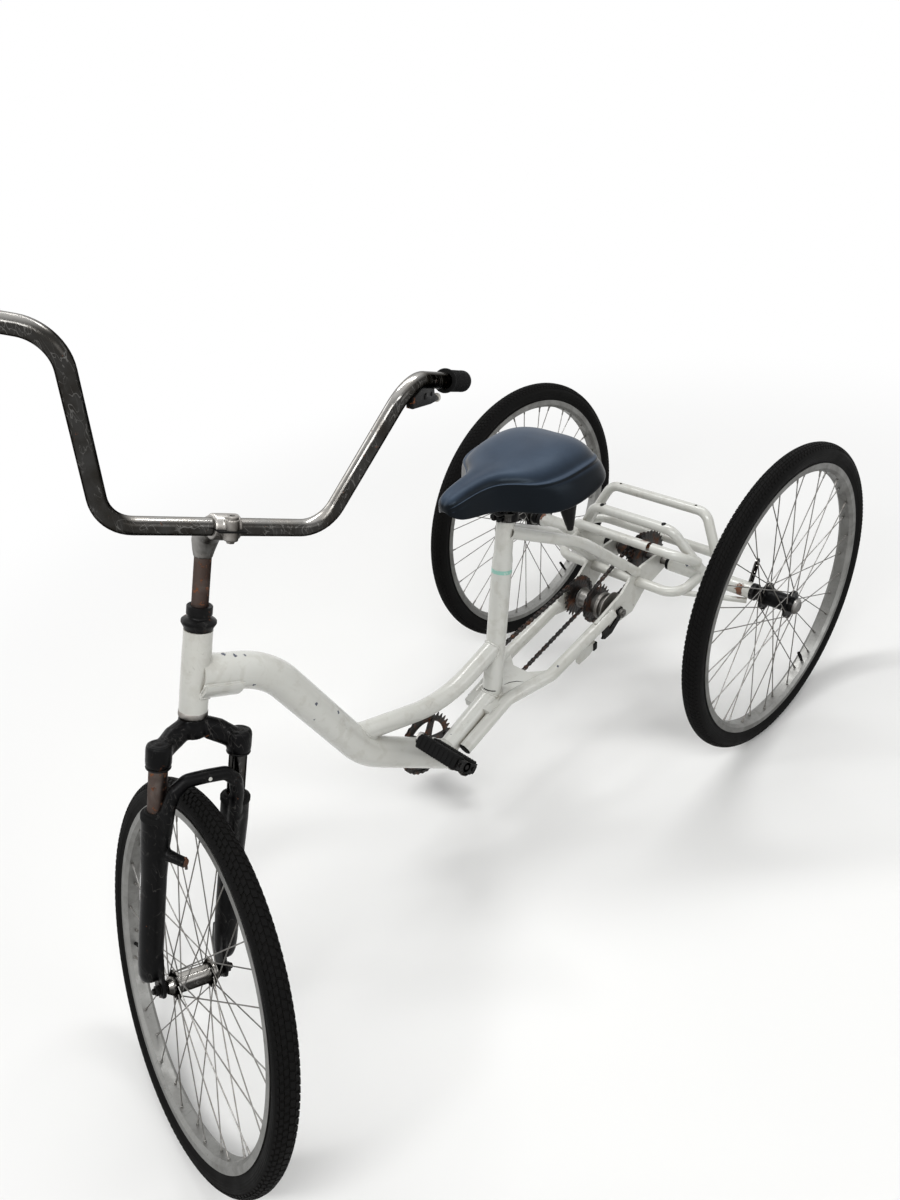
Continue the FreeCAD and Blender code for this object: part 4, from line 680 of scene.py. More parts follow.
class Shape:
    """Corners and faces in one space; everything added is in that space's millimetres."""

    def __init__(self, space=FRAME):
        self.space = space
        self.corners, self.faces = [], []

    def add(self, corners, faces, place=None):
        place = self.space if place is None else place
        first = len(self.corners)
        self.corners += [place @ Vector(corner) for corner in corners]
        self.faces += [[first + index for index in face] for face in faces]
        return self

    def turned(self, profile, place=None, steps=48, closed=False):
        """Turn (radius, height) pairs about Z."""
        corners, faces, count = [], [], len(profile)
        for step in range(steps):
            corners += [(*polar(r, math.tau * step / steps), z) for r, z in profile]
        for step in range(steps):
            here, there = step * count, (step + 1) % steps * count
            for row in range(count if closed else count - 1):
                after = (row + 1) % count
                faces.append((here + row, there + row, there + after, here + after))
        return self.add(corners, faces, place)

    def strip(self, rings, place=None, closed=False):
        """Skin a run of rings that have the same number of corners."""
        count = len(rings[0])
        corners = [corner for ring in rings for corner in ring]
        faces = []
        for row in range(len(rings) if closed else len(rings) - 1):
            here, there = row * count, (row + 1) % len(rings) * count
            for step in range(count):
                after = (step + 1) % count
                faces.append((here + step, here + after, there + after, there + step))
        if not closed:
            last = (len(rings) - 1) * count
            faces += [tuple(reversed(range(count))), tuple(range(last, last + count))]
        return self.add(corners, faces, place)

    def rod(self, points, radii, sides=12, place=None, closed=False):
        """A round bar through points, with one radius or one for each point."""
        points = [Vector(point) for point in points]
        if not isinstance(radii, (list, tuple)):
            radii = [radii] * len(points)
        rings, across = [], None
        for step, point in enumerate(points):
            if closed:
                ahead = points[(step + 1) % len(points)] - points[step - 1]
            else:
                ahead = points[min(step + 1, len(points) - 1)] - points[max(step - 1, 0)]
            ahead.normalize()
            if across is None:
                across = ahead.orthogonal().normalized()
            across = (across - ahead * across.dot(ahead)).normalized()
            over = ahead.cross(across)
            rings.append([point + (across * u + over * v) * radii[step]
                          for u, v in circle(1, sides)])
        return self.strip(rings, place, closed)

    def levels(self, rows, place=None, closed=False):
        """Skin flat outlines, each laid at its own height."""
        return self.strip([[(u, v, z) for u, v in outline] for outline, z in rows], place, closed)

    def slab(self, outline, low, high, place=None, bevel=0.0):
        """A flat plate from low to high with its rims bevelled; the outline is in XY."""
        if not bevel:
            return self.levels([(outline, low), (outline, high)], place)
        points = [Vector(point) for point in outline]
        middle = sum(points, Vector((0, 0))) / len(points)
        reach = max((point - middle).length for point in points)
        inner = [middle + (point - middle) * (1 - bevel / reach) for point in points]
        return self.levels([(inner, low), (outline, low + bevel), (outline, high - bevel),
                            (inner, high)], place)

    def hexagon(self, across, low, high, place=None):
        """A nut with bevelled ends, by its size across the flats."""
        flats = circle(across / 2 / math.cos(math.pi / 6), 6)
        return self.slab(flats, low, high, place, bevel=(high - low) * 0.14)


def mesh_of(shape, name):
    mesh = bpy.data.meshes.new(name)
    mesh.from_pydata([tuple(corner) for corner in shape.corners], [], shape.faces)
    work = bmesh.new()
    work.from_mesh(mesh)
    bmesh.ops.recalc_face_normals(work, faces=work.faces)
    work.to_mesh(mesh)
    work.free()
    return mesh


def make(name, shape, finish, body, solids=(), sharp=32):
    """Make the object of a Shape, or of a mesh."""
    mesh = mesh_of(shape, name) if isinstance(shape, Shape) else shape
    mesh.name = name
    mesh.materials.clear()
    mesh.materials.append(FINISHES[finish])
    mesh.shade_smooth()
    mesh.set_sharp_from_angle(angle=math.radians(sharp))
    made = add_object(name, mesh)
    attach(made, body)
    if solids:
        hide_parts(*solids)
    print(f"{name}: {len(mesh.polygons)} faces on {body}")
    return made


# %% Modified meshes and rounded runs
def modified(shape, *steps):
    """The mesh of a Shape after some modifiers, each given as a kind and its settings."""
    mesh = mesh_of(shape, "worked")
    holder = add_object("worked", mesh)
    for kind, settings in steps:
        step = holder.modifiers.new(kind, kind)
        for key, value in settings.items():
            setattr(step, key, value)
    bpy.context.view_layer.update()
    graph = bpy.context.evaluated_depsgraph_get()
    done = bpy.data.meshes.new_from_object(holder.evaluated_get(graph))
    bpy.data.objects.remove(holder)
    bpy.data.meshes.remove(mesh)
    return done


def casting(shape, voxel, rounds, keep):
    """Melt the overlapping forms of a Shape into one skin, as a casting has."""
    return modified(shape, ("REMESH", {"mode": "VOXEL", "voxel_size": voxel * MM}),
                    ("SMOOTH", {"factor": 0.6, "iterations": rounds}),
                    ("DECIMATE", {"ratio": keep}))


def bend(points, radius, steps):
    """A run of points whose corners are rounded."""
    points = [Vector(point) for point in points]
    run = [points[0]]
    for before, corner, after in zip(points, points[1:], points[2:]):
        inward, outward = (before - corner).normalized(), (after - corner).normalized()
        reach = radius / math.tan(inward.angle(outward) / 2)
        start, end = corner + inward * reach, corner + outward * reach
        for step in range(steps + 1):
            share = step / steps
            run.append(start.lerp(corner, share).lerp(corner.lerp(end, share), share))
    return run + [points[-1]]


# %% [markdown]
# ## Tyres
# A tyre is turned from its own section, with ribs on its walls. The tread blocks are laid
# over it in rows: each block's corners are given by an angle round the wheel and an angle
# round the section, so the rows follow the tyre exactly.

# %% The wheels' spaces and the tyre's section
def wheel_space(centre, axle, up, sign=1):
    """The space in which a wheel was turned: its axle is Z."""
    return space_of(centre, -up * sign, up.cross(axle), axle * sign)


# space, half the distance between the spoke circles, their radius
WHEELS = {
    "front": (wheel_space(WHEEL_POINT, WHEEL_AXLE, STEER_UP), 30, 20),
    "rear_left": (wheel_space(middle_of("rear_left_rim"), LEFT, UP), 26.5, 26),
    "rear_right": (wheel_space(middle_of("rear_right_rim"), LEFT, UP, -1), 26.5, 26),
}
TREAD_RADIUS, SECTION, RIM_EDGE, TUBE = 329.0, 20.0, 290.0, 15.5
RING = TREAD_RADIUS - SECTION


def on_tyre(turn, lean, radius):
    """A point by its angle round the wheel, its angle round the section and its radius."""
    out, side = polar(radius, lean)
    return (*polar(RING + out, turn), side)


def tyre_section(groove):
    """The outside from bead to bead, ribbed on the walls, and then the inside."""
    outside = []
    for lean in range(-124, 128, 4):
        wall = min(max((abs(lean) - 58) / 20, 0), 1)
        rib = 0.45 if abs(lean) in (80, 88, 100, 112) else 0.0
        out, side = polar(SECTION - groove + (groove - 0.5) * wall + rib, math.radians(lean))
        outside.append((RING + out, side))
    bead = [(RIM_EDGE + 0.2, 13.2), (RIM_EDGE - 3, 12.6), (RIM_EDGE + 2, 9.5)]
    inside = [(RING + out, side) for out, side in
              (polar(TUBE, math.radians(lean)) for lean in range(120, -121, -24))]
    return outside + bead + inside + [(r, -z) for r, z in reversed(bead)]


# %% Tread blocks
def both_sides(rows):
    """The middle row as it is, and every other row on both sides of it."""
    return [(lean * side, half, length, skew * side, shift)
            for lean, half, length, skew, shift in rows for side in ((1, -1) if lean else (1,))]


# angle round the section, half width in mm, share of the pitch, skew, share of a step shifted
BLOCKS = both_sides(((0, 4.3, 0.40, 0.22, 0.0), (24, 3.5, 0.36, 0.30, 0.5),
                     (45, 3.0, 0.36, 0.34, 0.1), (63, 2.3, 0.30, 0.0, 0.55)))
RIBS = both_sides(((0, 3.6, 0.44, 0.55, 0.0), (19, 2.4, 0.43, 0.40, 0.3),
                   (35, 2.2, 0.40, 0.34, 0.6), (52, 2.6, 0.33, 0.12, 0.2)))
# the corners of a block's foot or top: along and across its row
CORNERS = ((-1, -1), (1, -1), (1, 1), (-1, 1))
BLOCK_FACES = ((4, 5, 6, 7), (0, 1, 5, 4), (1, 2, 6, 5), (2, 3, 7, 6), (3, 0, 4, 7))


def tyre(name, rows, count, depth):
    shape = Shape(WHEELS[name][0]).turned(tyre_section(depth), steps=120, closed=True)
    chance = random.Random(5)
    for lean, half, length, skew, shift in rows:
        wide, lean, reach = half / SECTION, math.radians(lean), math.tau * length / count
        for number in range(count):
            turn = math.tau * (number + shift + chance.uniform(-0.02, 0.02)) / count
            block = [on_tyre(turn + reach * (side * scale + skew * edge),
                             lean + wide * edge * scale, radius)
                     for radius, scale in ((SECTION - depth - 0.6, 1.06), (SECTION, 0.9))
                     for side, edge in CORNERS]
            shape.add(block, BLOCK_FACES)
    make(f"{name}_tread", shape, "tyre_rubber", f"{name}_wheel", [f"{name}_tyre"], sharp=24)


tyre("front", BLOCKS, 150, 2.3)
tyre("rear_left", RIBS, 190, 1.3)
tyre("rear_right", RIBS, 190, 1.3)

# %% [markdown]
# ## Spoke nipples, valves and hubs
# Every spoke ends in a nipple, and each rim has a valve halfway between two spokes. The hubs
# get their lock nuts, dust caps and the flanges' rims.

# %% Nipples, valves and flanges
SPOKES, CROSSING = 36, math.radians(62)
NIPPLE_END, RIM_OFFSET = 272.8, 4


def spoke_fittings(name):
    space, flange, hole_radius = WHEELS[name]
    shape = Shape(space)
    for number in range(SPOKES):
        angle = math.tau * number / SPOKES
        side, lean = (1 if number % 2 else -1), (1 if number % 4 < 2 else -1)
        low = Vector((*polar(hole_radius, angle + CROSSING * lean), side * flange + lean * 3.15))
        high = Vector((*polar(NIPPLE_END, angle), side * RIM_OFFSET))
        inward = (low - high).normalized()
        shape.rod([high + inward * reach for reach in (0, 3, 3.5, 12, 13)],
                  [2.7, 2.5, 1.9, 1.7, 1.1], 8)
        shape.rod([low - inward * 2, low + Vector((0, 0, -lean * 3.6))], [1.05, 1.7], 6)
    make(f"{name}_nipples", shape, "bare_steel", f"{name}_wheel")


def valve(name, degrees):
    out = Vector((*polar(1, math.radians(degrees)), 0))
    shape = Shape(WHEELS[name][0])
    shape.rod([out * reach for reach in (273, 262, 261, 252, 251, 240, 239, 238)],
              [3.2, 3.0, 3.9, 3.9, 3.4, 3.6, 3.1, 1.0], 14)
    make(f"{name}_valve", shape, "grip_rubber", f"{name}_wheel")


def hub_flanges(name, finish):
    """Raised rims round a hub's flanges."""
    space, flange, hole_radius = WHEELS[name]
    rim, barrel = hole_radius + 3.4, hole_radius * 0.78
    shape = Shape(space)
    for side in (1, -1):
        profile = ((rim - 1.6, -2.3), (rim, -1.6), (rim, 1.6), (rim - 1.6, 2.3), (barrel, 2.0),
                   (barrel, -2.0))
        shape.turned([(r, side * (flange + z)) for r, z in profile], closed=True)
    make(f"{name}_hub_flanges", shape, finish, f"{name}_wheel")


for name, degrees in (("front", 65), ("rear_left", 25), ("rear_right", 155)):
    spoke_fittings(name)
    valve(name, degrees)


# %% The front axle, and what each hub has at its ends
def front_axle():
    """The spindle with its cones, lock nuts, fork washers and the two axle nuts."""
    space = WHEELS["front"][0]
    shape = Shape(space).rod([(0, 0, -69), (0, 0, -67.6), (0, 0, 67.6), (0, 0, 69)],
                             [4.0, 4.7, 4.7, 4.0], 20)
    for number in range(12):
        for side in (1, -1):
            level = side * (64.6 + number * 0.27)
            shape.turned([(4.6, level), (5.0, level + 0.1), (4.6, level + 0.2)], steps=20)
    for side in (1, -1):
        turn = space @ Matrix.Diagonal((1, 1, side, 1))
        shape.turned([(4.7, 44.7), (8, 44.7), (9, 46.2), (9, 47.4), (4.7, 47.4)], turn, 28)
        shape.hexagon(15, 47.4, 49.9, turn)
        shape.turned([(4.7, 56.2), (11, 56.2), (11, 58), (4.7, 58)], turn, 28)
        shape.hexagon(14.8, 58, 64.5, turn)
    make("front_axle_fittings", shape, "black_steel", "steering", ["front_axle"])


def rear_hub(name):
    """The flanges, the axle's nut in its cap, and the pale band round the barrel."""
    space, body = WHEELS[name][0], f"{name}_wheel"
    hub_flanges(name, "black_paint")
    cap = Shape(space)
    cap.turned([(8.2, 36.2), (15, 36.2), (16.5, 38), (16.5, 41), (12, 44.2), (8.2, 44.2)],
               steps=32)
    cap.hexagon(17, 36.4, 43.2)
    make(f"{name}_axle_nut", cap, "bare_steel", body)
    band = Shape(space).turned([(17.2, -33.8), (20.5, -33.4), (20.5, -29), (17.4, -28.5)],
                               steps=40, closed=True)
    make(f"{name}_hub_band", band, "rim_alloy", body)


front_axle()
hub_flanges("front", "chrome")
rear_hub("rear_left")
rear_hub("rear_right")

# %% [markdown]
# ## Chains and toothed wheels
# A chain's line runs straight between two circles and round them. Rollers are set along it at
# an even pitch, plates join them in turn inside and outside, and each sprocket is turned until
# its valleys hold the rollers. The chain stays still when a sprocket turns, so where it wraps
# one the rollers are left out, hidden by the plates, and the teeth pass between the plates.

# %% The chain's line
def flat(point):
    """A point of the drive as (back, up), in millimetres."""
    return Vector((point.y, point.z)) / MM


CHAIN_PITCH, LINK_END, LINK_WAIST, WRAP = 12.7, 4.1, 0.62, 8
TOOTH_TIP, TOOTH_ROOT, PLATE = 3.6, 4.3, 2.3
RING_PITCH, INPUT_PITCH, OUTPUT_PITCH, COG_PITCH = 66.7, 44.5, 42.4, 44.5
RING_LINE, HUB_LINE = (middle_of(f"{which}_chain").x / MM for which in ("primary", "secondary"))
CRANK_AT, HUB_AT, AXLE_AT = (flat(joint_axis(name)[0]) for name in
                             ("crank_turn", "hub_shell_turn", "rear_left_spin"))
SIDEWAYS = space_of(Vector(), BACK, UP, LEFT)


def loop_points(first, first_radius, second, second_radius):
    """Even points along the closed line round two circles in the (back, up) plane."""
    gap = second - first
    base = math.atan2(gap.y, gap.x)
    opening = math.acos((first_radius - second_radius) / gap.length)
    upper, lower = base + opening, base - opening
    run = math.sqrt(gap.length ** 2 - (first_radius - second_radius) ** 2)

    def on_first(angle):
        return first + Vector(polar(first_radius, angle))

    def on_second(angle):
        return second + Vector(polar(second_radius, angle))

    stretches = (
        (run, lambda far: on_first(upper).lerp(on_second(upper), far / run)),
        (second_radius * 2 * opening, lambda far: on_second(upper - far / second_radius)),
        (run, lambda far: on_second(lower).lerp(on_first(lower), far / run)),
        (first_radius * (math.tau - 2 * opening), lambda far: on_first(lower - far / first_radius)),
    )
    whole = sum(length for length, _ in stretches)
    count = round(whole / CHAIN_PITCH / 2) * 2
    points = []
    for number in range(count):
        far = whole * number / count
        for length, place in stretches:
            if far < length:
                break
            far -= length
        points.append(place(far))
    return points


# %% Links
def link_plate(shape, start, end, low, high):
    """A plate with two round ends and a waist, from pin to pin."""
    angle = math.atan2(*(end - start).yx)
    outline = []
    for centre, turn in ((end, -math.pi / 2), (start, math.pi / 2)):
        outline += [centre + Vector(polar(LINK_END, angle + turn + math.pi * step / 5))
                    for step in range(6)]
        outline.append((start + end) / 2
                       + Vector(polar(LINK_END * LINK_WAIST, angle + turn + math.pi)))
    shape.strip([[(level, u, v) for u, v in outline] for level in (low, high)])


def chain(name, first, first_radius, second, second_radius, offset):
    """The links; it returns the places of the rollers."""
    shape = Shape(Matrix.Translation((offset * MM, 0, 0)) @ FRAME)
    points = loop_points(first, first_radius, second, second_radius)
    for number, point in enumerate(points):
        after = points[(number + 1) % len(points)]
        inner, outer = (2.35, 3.3) if number % 2 else (1.25, 2.2)
        for side in (1, -1):
            link_plate(shape, point, after, side * inner, side * outer)
        if ((point - first).length < first_radius + WRAP
                or (point - second).length < second_radius + WRAP):
            for side in (1, -1):
                shape.rod([(side * 1.5, *point), (side * 3.5, *point)], 1.7, 6)
        else:
            shape.rod([(-1.3, *point), (1.3, *point)], 3.6, 8)
            shape.rod([(-3.5, *point), (3.5, *point)], 1.7, 6)
    make(f"{name}_links", shape, "chain_steel", "frame", [name])
    print(name, "of", len(points), "links")
    return points


primary = chain("primary_chain", CRANK_AT, RING_PITCH, HUB_AT, INPUT_PITCH, RING_LINE)
secondary = chain("secondary_chain", HUB_AT, OUTPUT_PITCH, AXLE_AT, COG_PITCH, HUB_LINE)


# %% Teeth
def toothed(centre, pitch_radius, teeth, points):
    """A sprocket's outline whose valleys are under the chain's rollers."""
    nearest = [point for point in points if abs((point - centre).length - pitch_radius) < 0.3]
    held = nearest[len(nearest) // 2] - centre
    phase = math.atan2(held.y, held.x)
    shares = ((0.0, -TOOTH_ROOT), (0.14, -TOOTH_ROOT * 0.94), (0.26, -TOOTH_ROOT * 0.35),
              (0.37, TOOTH_TIP * 0.45), (0.46, TOOTH_TIP), (0.54, TOOTH_TIP),
              (0.63, TOOTH_TIP * 0.45), (0.74, -TOOTH_ROOT * 0.35), (0.86, -TOOTH_ROOT * 0.94))
    return [polar(pitch_radius + lift, phase + math.tau * (tooth + share) / teeth)
            for tooth in range(teeth) for share, lift in shares]


def sideways(centre, offset=0.0):
    """A space whose Z runs to the rider's left, at a point of the drive."""
    return Matrix.Translation(Vector((offset, *centre)) * MM) @ SIDEWAYS


def sprocket(shape, outline, hole, thickness=PLATE, place=None):
    """The toothed plate round a hole, thinned towards its tips."""
    inner = circle(hole, len(outline), math.atan2(outline[0][1], outline[0][0]))
    waist = [(u * 0.93, v * 0.93) for u, v in outline]
    half = thickness / 2
    rows = ((waist, -half), (outline, -half * 0.55), (outline, half * 0.55), (waist, half),
            (inner, half), (inner, -half))
    return shape.levels(rows, place, closed=True)


# %% The ring, the hub's input wheel and its shell
def chainring():
    """A toothed ring held by a five-armed spider on a boss."""
    place = sideways(CRANK_AT, RING_LINE)
    shape = Shape(place)
    sprocket(shape, toothed(CRANK_AT, RING_PITCH, 33, primary), 50.5)
    shape.turned([(50.6, -1.4), (54, -2.2), (54, 2.2), (50.6, 1.4)], steps=90, closed=True)
    arm = [(12, -11), (30, -8.5), (46, -8), (56, -9.5), (57, 0), (56, 9.5), (46, 8), (30, 8.5),
           (12, 11)]
    for number in range(5):
        turn = place @ Matrix.Rotation(math.tau * number / 5 + 1.0, 4, "Z")
        shape.slab(arm, -1.9, 1.9, turn, bevel=0.8)
        shape.hexagon(8, 1.8, 4.6, turn @ Matrix.Translation((52, 0, 0)))
    shape.turned([(9.3, -8), (17, -8), (18.5, -6), (18.5, 3), (15, 5.6), (9.3, 5.6)], steps=40,
                 closed=True)
    make("chainring_spider", shape, "chain_steel", "crank", ["chainring"])


def hub_input():
    shape = Shape(sideways(HUB_AT, RING_LINE))
    sprocket(shape, toothed(HUB_AT, INPUT_PITCH, 22, primary), 17.5)
    shape.turned([(5.0, -3), (14, -3), (17.6, -1.5), (19.5, 1.4), (19.5, 4.6), (5.0, 4.6)],
                 steps=40, closed=True)
    make("hub_input_sprocket", shape, "chain_steel", "hub_sprocket", ["hub_sprocket"])


def hub_barrel():
    """The hub's shell: flanges with their spoke holes empty, a sprocket and a dust disc."""
    shape = Shape(sideways(HUB_AT))
    shape.turned([(5.0, -44), (17, -44), (19, -43), (24, -38.6), (24, -36), (21.5, -34),
                  (21.5, -12), (22, -8), (24, -7), (24, 12), (26, 14), (30, 15), (31, 16.5),
                  (31, 23), (30, 24.3), (24.5, 25.5), (22, 28), (22, 35), (24, 37.6), (36.5, 38),
                  (38, 38.8), (38, 40.4), (36, 41.3), (22, 43), (18, 44), (5.0, 44)], steps=64,
                 closed=True)
    for level in (20.5, 17.5):
        shape.turned([(30.9, level - 0.5), (31.6, level), (30.9, level + 0.5)], steps=64)
    make("hub_barrel", shape, "bare_steel", "hub_shell", ["hub_shell"])
    plate = sprocket(Shape(sideways(HUB_AT, HUB_LINE)),
                     toothed(HUB_AT, OUTPUT_PITCH, 21, secondary), 22.5)
    make("hub_output_sprocket", plate, "chain_steel", "hub_shell")


chainring()
hub_input()
hub_barrel()


# %% The cluster of cogs
COG_GAP, COG_BORE, COG_PLATE = 7, 20.5, 2.4
# the shape of a bare tooth: share of its pitch, height
COG_TOOTH = ((0, -4), (0.25, -3), (0.45, 1), (0.55, 1), (0.75, -3))


def bare_cog(teeth, pitch_radius):
    return [polar(pitch_radius + lift, math.tau * (tooth + share) / teeth)
            for tooth in range(teeth) for share, lift in COG_TOOTH]


def cassette():
    """Seven toothed cogs with spacers; the chain runs on the middle one."""
    shape = Shape(sideways(AXLE_AT, HUB_LINE))
    for step, teeth in ((-3, 13), (-2, 15), (-1, 18), (0, 22), (1, 24), (2, 27), (3, 29)):
        outline = (bare_cog(teeth, 2.02 * teeth + (1.2 if step > 0 else 0.0)) if step else
                   toothed(AXLE_AT, COG_PITCH, teeth, secondary))
        sprocket(shape, outline, COG_BORE, COG_PLATE, sideways(AXLE_AT, HUB_LINE + step * COG_GAP))
    shape.turned([(8.3, -50), (17, -50), (19, -48.5), (19, -27), (21, -25), (21, 23), (8.3, 23)],
                 steps=40, closed=True)
    make("cog_cluster", shape, "chain_steel", "rear_left_wheel", ["freewheel_cluster"])


cassette()

# %% [markdown]
# ## Cranks and pedals
# The cranks are forged: their arms swell at both ends. Each pedal has two ribbed rubber blocks
# between steel end plates, with a bright dome over the spindle's inner end.

# %% The cranks
CRANK_OFFSET = 65.0
# distance from the spindle, half width, half thickness; the last rows count from the pedal
CRANK_ROOT = ((-16, 9, 5.5), (-11, 15, 6.5), (0, 17.5, 7.2), (12, 15.5, 7), (26, 11.5, 6),
              (60, 10.2, 5.6), (110, 9.2, 5.2))
CRANK_END = ((-18, 9.4, 5.4), (-9, 12, 6.2), (0, 13.2, 6.4), (9, 10.5, 6), (13, 5, 5))
# pedal, the side it is on, its pin
PEDALS = [(f"{side}_pedal", sign, flat(joint_axis(f"{side}_pedal_turn")[0]))
          for side, sign in (("left", 1), ("right", -1))]


def squared(share):
    """A sine or cosine pushed outwards, for a section between round and square."""
    return math.copysign(abs(share) ** 0.7, share)


def crank_arms():
    shape = Shape()
    for _, sign, pin in PEDALS:
        start = Vector((CRANK_OFFSET * sign, *CRANK_AT))
        end = Vector((CRANK_OFFSET * sign, *pin))
        line, reach = (end - start).normalized(), (end - start).length
        across = LEFT.cross(line)
        stations = CRANK_ROOT + tuple((reach + place, *size) for place, *size in CRANK_END)
        shape.strip([[start + line * place + across * (wide * squared(math.cos(turn)))
                      + LEFT * thick * squared(math.sin(turn))
                      for turn in (math.tau * step / 16 for step in range(16))]
                     for place, wide, thick in stations])
        turn = along(start * MM, LEFT * sign)
        shape.turned([(0, 8.6), (7, 8.6), (9.5, 7.6), (10.5, 5.5)], turn, 28)
        shape.hexagon(13, 8.2, 10.6, turn)
    shape.rod([(-CRANK_OFFSET, *CRANK_AT), (CRANK_OFFSET, *CRANK_AT)], 8.9, 24)
    make("forged_cranks", shape, "chrome", "crank", ["crankset"])


crank_arms()


# %% The pedals, each hung at an angle
PEDAL_HANG = math.radians(-52)
BLOCK_HALF, RIB_COUNT, RIB_PITCH = 47.5, 15, 6.35


def pedal_blocks(space):
    """Two rubber blocks, ribbed above and below, with nine ribs on their outer edges."""
    blocks = Shape(space)
    crown = [(number * RIB_PITCH - BLOCK_HALF + along_rib, height) for number in range(RIB_COUNT)
             for along_rib, height in ((0, 12.0), (1.1, 13.5), (3.7, 13.5), (4.8, 12.0))]
    for side in (1, -1):
        for level in (1, -1):
            blocks.strip([[(u * side, (v - drop) * level, z) for z, v in crown]
                          + [(u * side, -0.1 * level, end) for end in (BLOCK_HALF, -BLOCK_HALF)]
                          for u, drop in ((9, 0.8), (11, 0), (29, 0), (31, 1.4))])
        for number in range(9):
            level = -45 + number * 11
            blocks.slab([(30.2 * side, -10), (31.9 * side, -10), (31.9 * side, 10),
                         (30.2 * side, 10)], level, level + 6)
    return blocks


def pedal_cage(space):
    """Two end plates with their nuts, and the barrel between them."""
    cage = Shape(space)
    outline = [(-28, -6), (-24, -9), (24, -9), (28, -6), (28, 6), (24, 9), (-24, 9), (-28, 6)]
    for end in (-1, 1):
        cage.slab(outline, end * 51 - 2, end * 51 + 2, bevel=0.6)
        for side in (1, -1):
            cage.hexagon(8, 0, 3.2, space @ Matrix.Translation((side * 20, 0, end * 52))
                         @ Matrix.Diagonal((1, 1, end, 1)))
    return cage.turned([(4.7, -53), (9.5, -53), (9.5, 53), (4.7, 53)], steps=32, closed=True)


def pedal(name, sign, pin):
    low, high = node_box(name)
    centre = Vector(((low.x + high.x) / 2, *pin)) * MM
    space = Matrix.Translation(centre) @ Matrix.Rotation(PEDAL_HANG, 4, "X") @ SIDEWAYS
    make(f"{name}_blocks", pedal_blocks(space), "pedal_plastic", name, [name], sharp=25)
    make(f"{name}_barrel", pedal_cage(space), "black_steel", name)
    dome = Shape(space @ Matrix.Diagonal((1, 1, -sign, 1)))
    dome.turned([(5, 52.6), (13, 52.6), (14, 51.5), (13.6, 49), (11, 47)], steps=32)
    dome.turned([(5.2, 53), (10.5, 52.9), (12.8, 51), (13.2, 48.5)], steps=32)
    make(f"{name}_dome", dome, "chrome", name)


for row in PEDALS:
    pedal(*row)

# %% [markdown]
# ## Saddle
# The saddle is lofted from stations along its length. Each station has a half width and three
# heights: the crown, the ridge where the top meets the side, and the rim. The skirt below the
# ridge slopes outwards, and subdivision smooths the whole.

# %% Stations and loft
# distance from the nose, half width, crown, ridge, rim
STATIONS = (
    (2, 8, 755, 750, 742), (8, 21, 763, 755, 734), (19, 29, 770, 758, 727),
    (42, 33, 775, 760, 720), (78, 36, 776, 759, 711), (108, 47, 775, 756, 702),
    (131, 80, 774, 752, 694), (148, 110, 773, 748, 690), (174, 129, 775, 745, 688),
    (205, 138, 778, 743, 688), (240, 139, 777, 741, 688), (272, 138, 772, 738, 690),
    (297, 130, 763, 733, 694), (315, 110, 753, 727, 700), (325, 80, 743, 721, 706),
    (329.5, 44, 733, 718, 711),
)


def saddle_section(along_nose, half, crown, ridge, rim):
    """Half of a section, from the middle of the top down and under the rim."""
    drop = crown - ridge
    deep = ridge - rim
    half_ring = [
        (0.0, crown - 1.2), (0.22, crown - 0.4), (0.42, crown - drop * 0.06),
        (0.60, crown - drop * 0.26), (0.73, crown - drop * 0.60), (0.80, ridge + drop * 0.04),
        (0.835, ridge + 1.2), (0.862, ridge + 0.4), (0.872, ridge - 2.6), (0.868, ridge - 5.2),
        (0.895, ridge - 8.0), (0.935, ridge - deep * 0.34), (0.972, ridge - deep * 0.62),
        (1.0, ridge - deep * 0.86), (0.995, rim + 2.0), (0.965, rim), (0.93, rim + 1.6),
        (0.90, rim + deep * 0.2), (0.62, rim + deep * 0.34), (0.0, rim + deep * 0.36),
    ]
    return [(share * half, along_nose, level) for share, level in half_ring]


def saddle():
    nose = node_box("saddle")[0].y
    rings = []
    for station in STATIONS:
        side = saddle_section(*station)
        other = [(-u, v, w) for u, v, w in side[-2:0:-1]]
        rings.append([(u, v + nose, w) for u, v, w in side + other])
    mesh = modified(Shape().strip(rings), ("SUBSURF", {"levels": 2, "render_levels": 2}))
    made = make("saddle_pad", mesh, "saddle_vinyl", "frame", ["saddle"], sharp=60)


saddle()

# %% [markdown]
# ### Seat collar
# The seat post is held by a split collar at the top of the seat tube. It is turned in the
# post's own space, with two ears and a bolt through them.

# %% The collar and its bolt
POST_LEAN = math.radians(18)


def seat_hardware():
    top = node_box("seat_post")[1]
    lean = Vector((0, math.sin(POST_LEAN), math.cos(POST_LEAN)))
    collar_at = Vector((0, top.y - 12.5, top.z - 4)) - lean * 35
    shape = Shape(along(collar_at * MM, lean))
    shape.turned([(18.2, -3), (22, -2.5), (23, 0), (23, 12), (22, 14.5), (14, 15.5)], steps=48)
    for side in (-1, 1):
        ear = [(side * 3, -18), (side * 9, -18), (side * 9, -33), (side * 3, -33)]
        shape.slab(ear, 0, 13, bevel=0.8)
    bolt = (shape.space @ Matrix.Translation((0, -27, 6.5))
            @ Matrix.Rotation(math.pi / 2, 4, "Y"))
    shape.rod([(0, 0, -14), (0, 0, 14)], 3.2, 14, bolt)
    shape.hexagon(11, -14, -9, bolt)
    shape.hexagon(11, 9, 14, bolt)
    make("seat_collar", shape, "black_steel", "frame")


seat_hardware()

# %% [markdown]
# ## Fork
# The crown and the lower legs are castings, with no hard edge where an arm meets a boss. Their
# forms are laid over each other in the fork's own space and melted into one skin.

# %% The crown
LEAN = math.radians(1.5)
SPREAD, ADVANCE, CROWN_LOW, RAKE, HUB_HALF = 65.0, 33.0, 388.0, 64.5, 50.0
SIDES = (1, -1)


